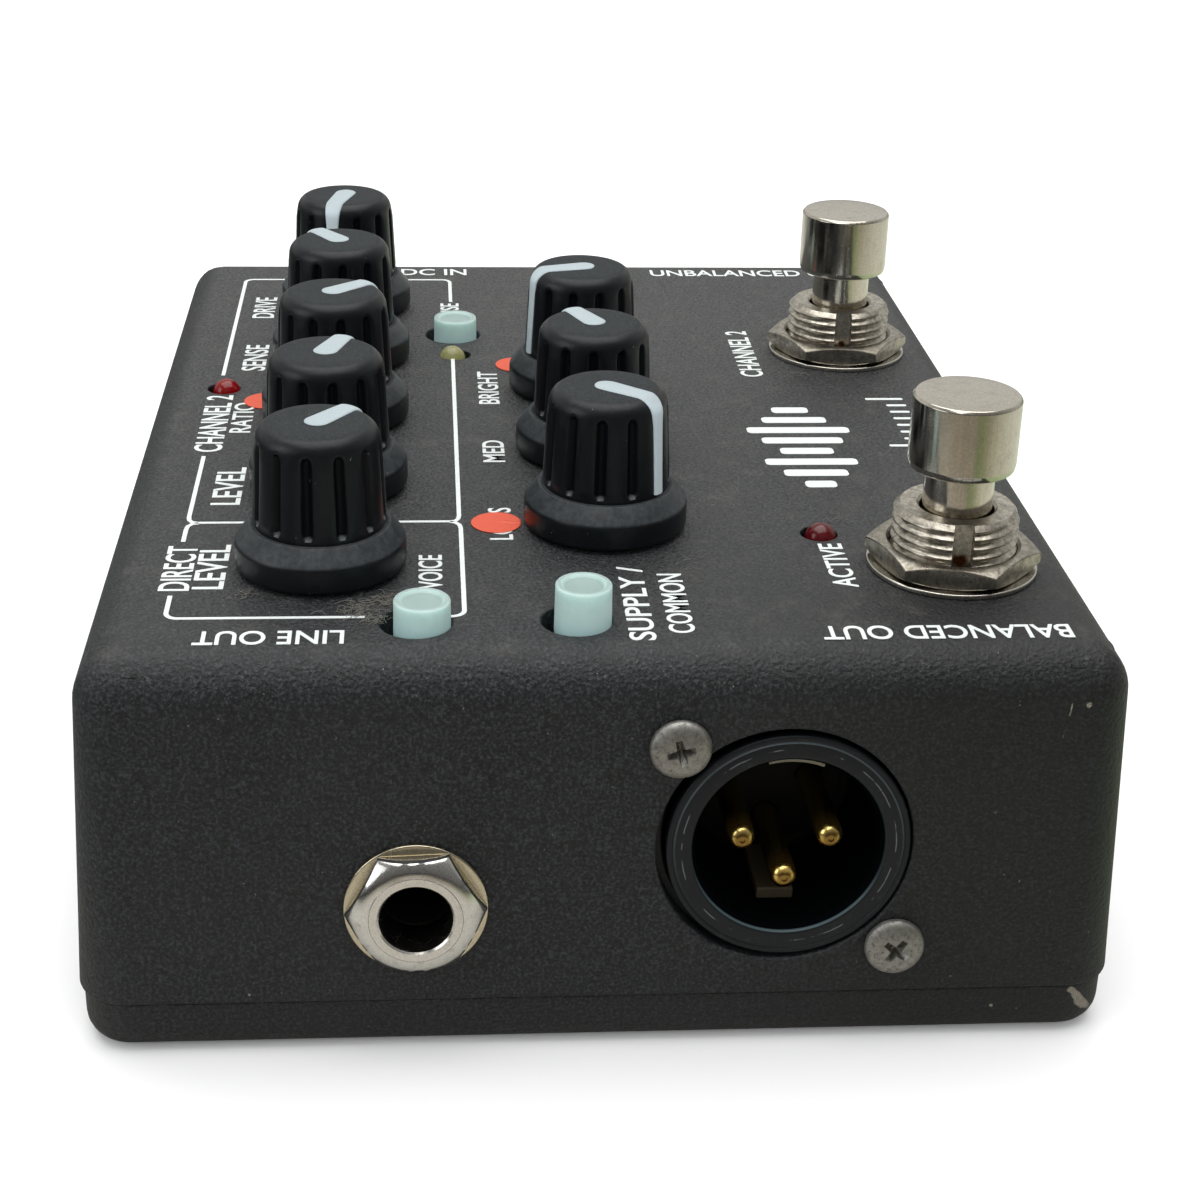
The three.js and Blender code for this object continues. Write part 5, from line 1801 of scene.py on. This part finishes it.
def build_lights():
    for name, place, target, width, height, watts, color, glossy in SOFTBOXES:
        light = bpy.data.lights.new(f"softbox_{name}", "AREA")
        light.shape = "RECTANGLE"
        light.size, light.size_y = width, height
        light.energy, light.color = watts, color
        obj = linked(f"softbox_{name}", light)
        obj.location = place
        aim = Vector(target) - Vector(place)
        obj.rotation_euler = aim.to_track_quat("-Z", "Y").to_euler()
        obj.visible_camera = False
        obj.visible_glossy = glossy


def build_world():
    world = bpy.data.worlds.new("studio")
    bpy.context.scene.world = world
    world.use_nodes = True
    graph = Graph(world.node_tree)
    x, _, z = graph.split(graph.out("ShaderNodeTexCoord", "Generated"))
    rays = graph.node("ShaderNodeLightPath")
    # in reflections: a dim room behind the camera, a pale one beyond the object
    ahead = graph.out("ShaderNodeMapRange", 0, {0: x, 1: -1.0, 2: 1.0}).ramp(
        (0.0, (0.10, 0.095, 0.09)), (0.30, (0.16, 0.155, 0.15)), (0.5, (0.32, 0.32, 0.31)),
        (0.75, (0.56, 0.56, 0.54)), (1.0, (0.68, 0.68, 0.66)))
    high = z.ramp(
        (0.0, grey(0.50)), (0.30, (1.08, 1.08, 1.07)), (0.45, (1.05, 1.05, 1.04)),
        (0.7, grey(1.2)), (1.0, grey(1.6)))
    glossy = graph.mix(1.0, ahead, high, mode="MULTIPLY")
    soft = z.ramp((0.0, (0.30, 0.30, 0.31)), (0.3, (0.42, 0.42, 0.43)), (1.0, grey(0.60)))
    color = Field(graph, rays.outputs["Is Glossy Ray"]).tint(soft, glossy)
    color = Field(graph, rays.outputs["Is Camera Ray"]).tint(color, grey(1.0))
    background = graph.out("ShaderNodeBackground", 0, {0: color, 1: 1.0})
    graph.node("ShaderNodeOutputWorld", {0: background})


def build_camera():
    yaw, pitch, roll = (math.radians(angle) for angle in (-4.38984, 25.31927, 1.41758))
    level = math.cos(pitch)
    ahead = Vector((level * math.cos(yaw), level * math.sin(yaw), -math.sin(pitch)))
    right = Vector((math.sin(yaw), -math.cos(yaw), 0))
    up = right.cross(ahead)
    rolled_right = right * math.cos(roll) + up * math.sin(roll)
    rolled_up = -right * math.sin(roll) + up * math.cos(roll)
    camera = bpy.data.cameras.new("camera")
    camera.sensor_width, camera.sensor_fit = 36.0, "HORIZONTAL"
    camera.lens = 65.42724
    camera.shift_x, camera.shift_y = 0.0160925, -0.0075325
    camera.clip_start, camera.clip_end = 0.005, 20
    obj = linked("camera", camera)
    place = Vector((-0.2203947, 0.0153002, 0.1219602))
    rows = zip(rolled_right, rolled_up, -ahead, place)
    obj.matrix_world = Matrix((*rows, (0, 0, 0, 1)))
    bpy.context.scene.camera = obj


# ------------------------------------------------------------------ build

build_enclosure()
build_base()
build_screws()
for knob in KNOBS:
    build_knob(*knob)
for switch in FOOT_SWITCHES:
    build_foot(*switch)
for button in BUTTONS:
    build_button(*button[:4])
for name, x, y, _, _, color in LAMPS:
    build_lamp(name, x, y, color)
for jack in JACKS:
    build_jack(*jack)
build_dc()
build_xlr_body()
build_xlr_contacts()
build_xlr_screws()
build_print()
build_stickers()
build_lint()
dress_cad_pieces()

build_stage()
build_lights()
build_world()
build_camera()
view = bpy.context.scene.view_settings
view.view_transform = "Standard"
view.look = "None"
view.exposure = 0.0
view.gamma = 1.0

bpy.context.view_layer.update()
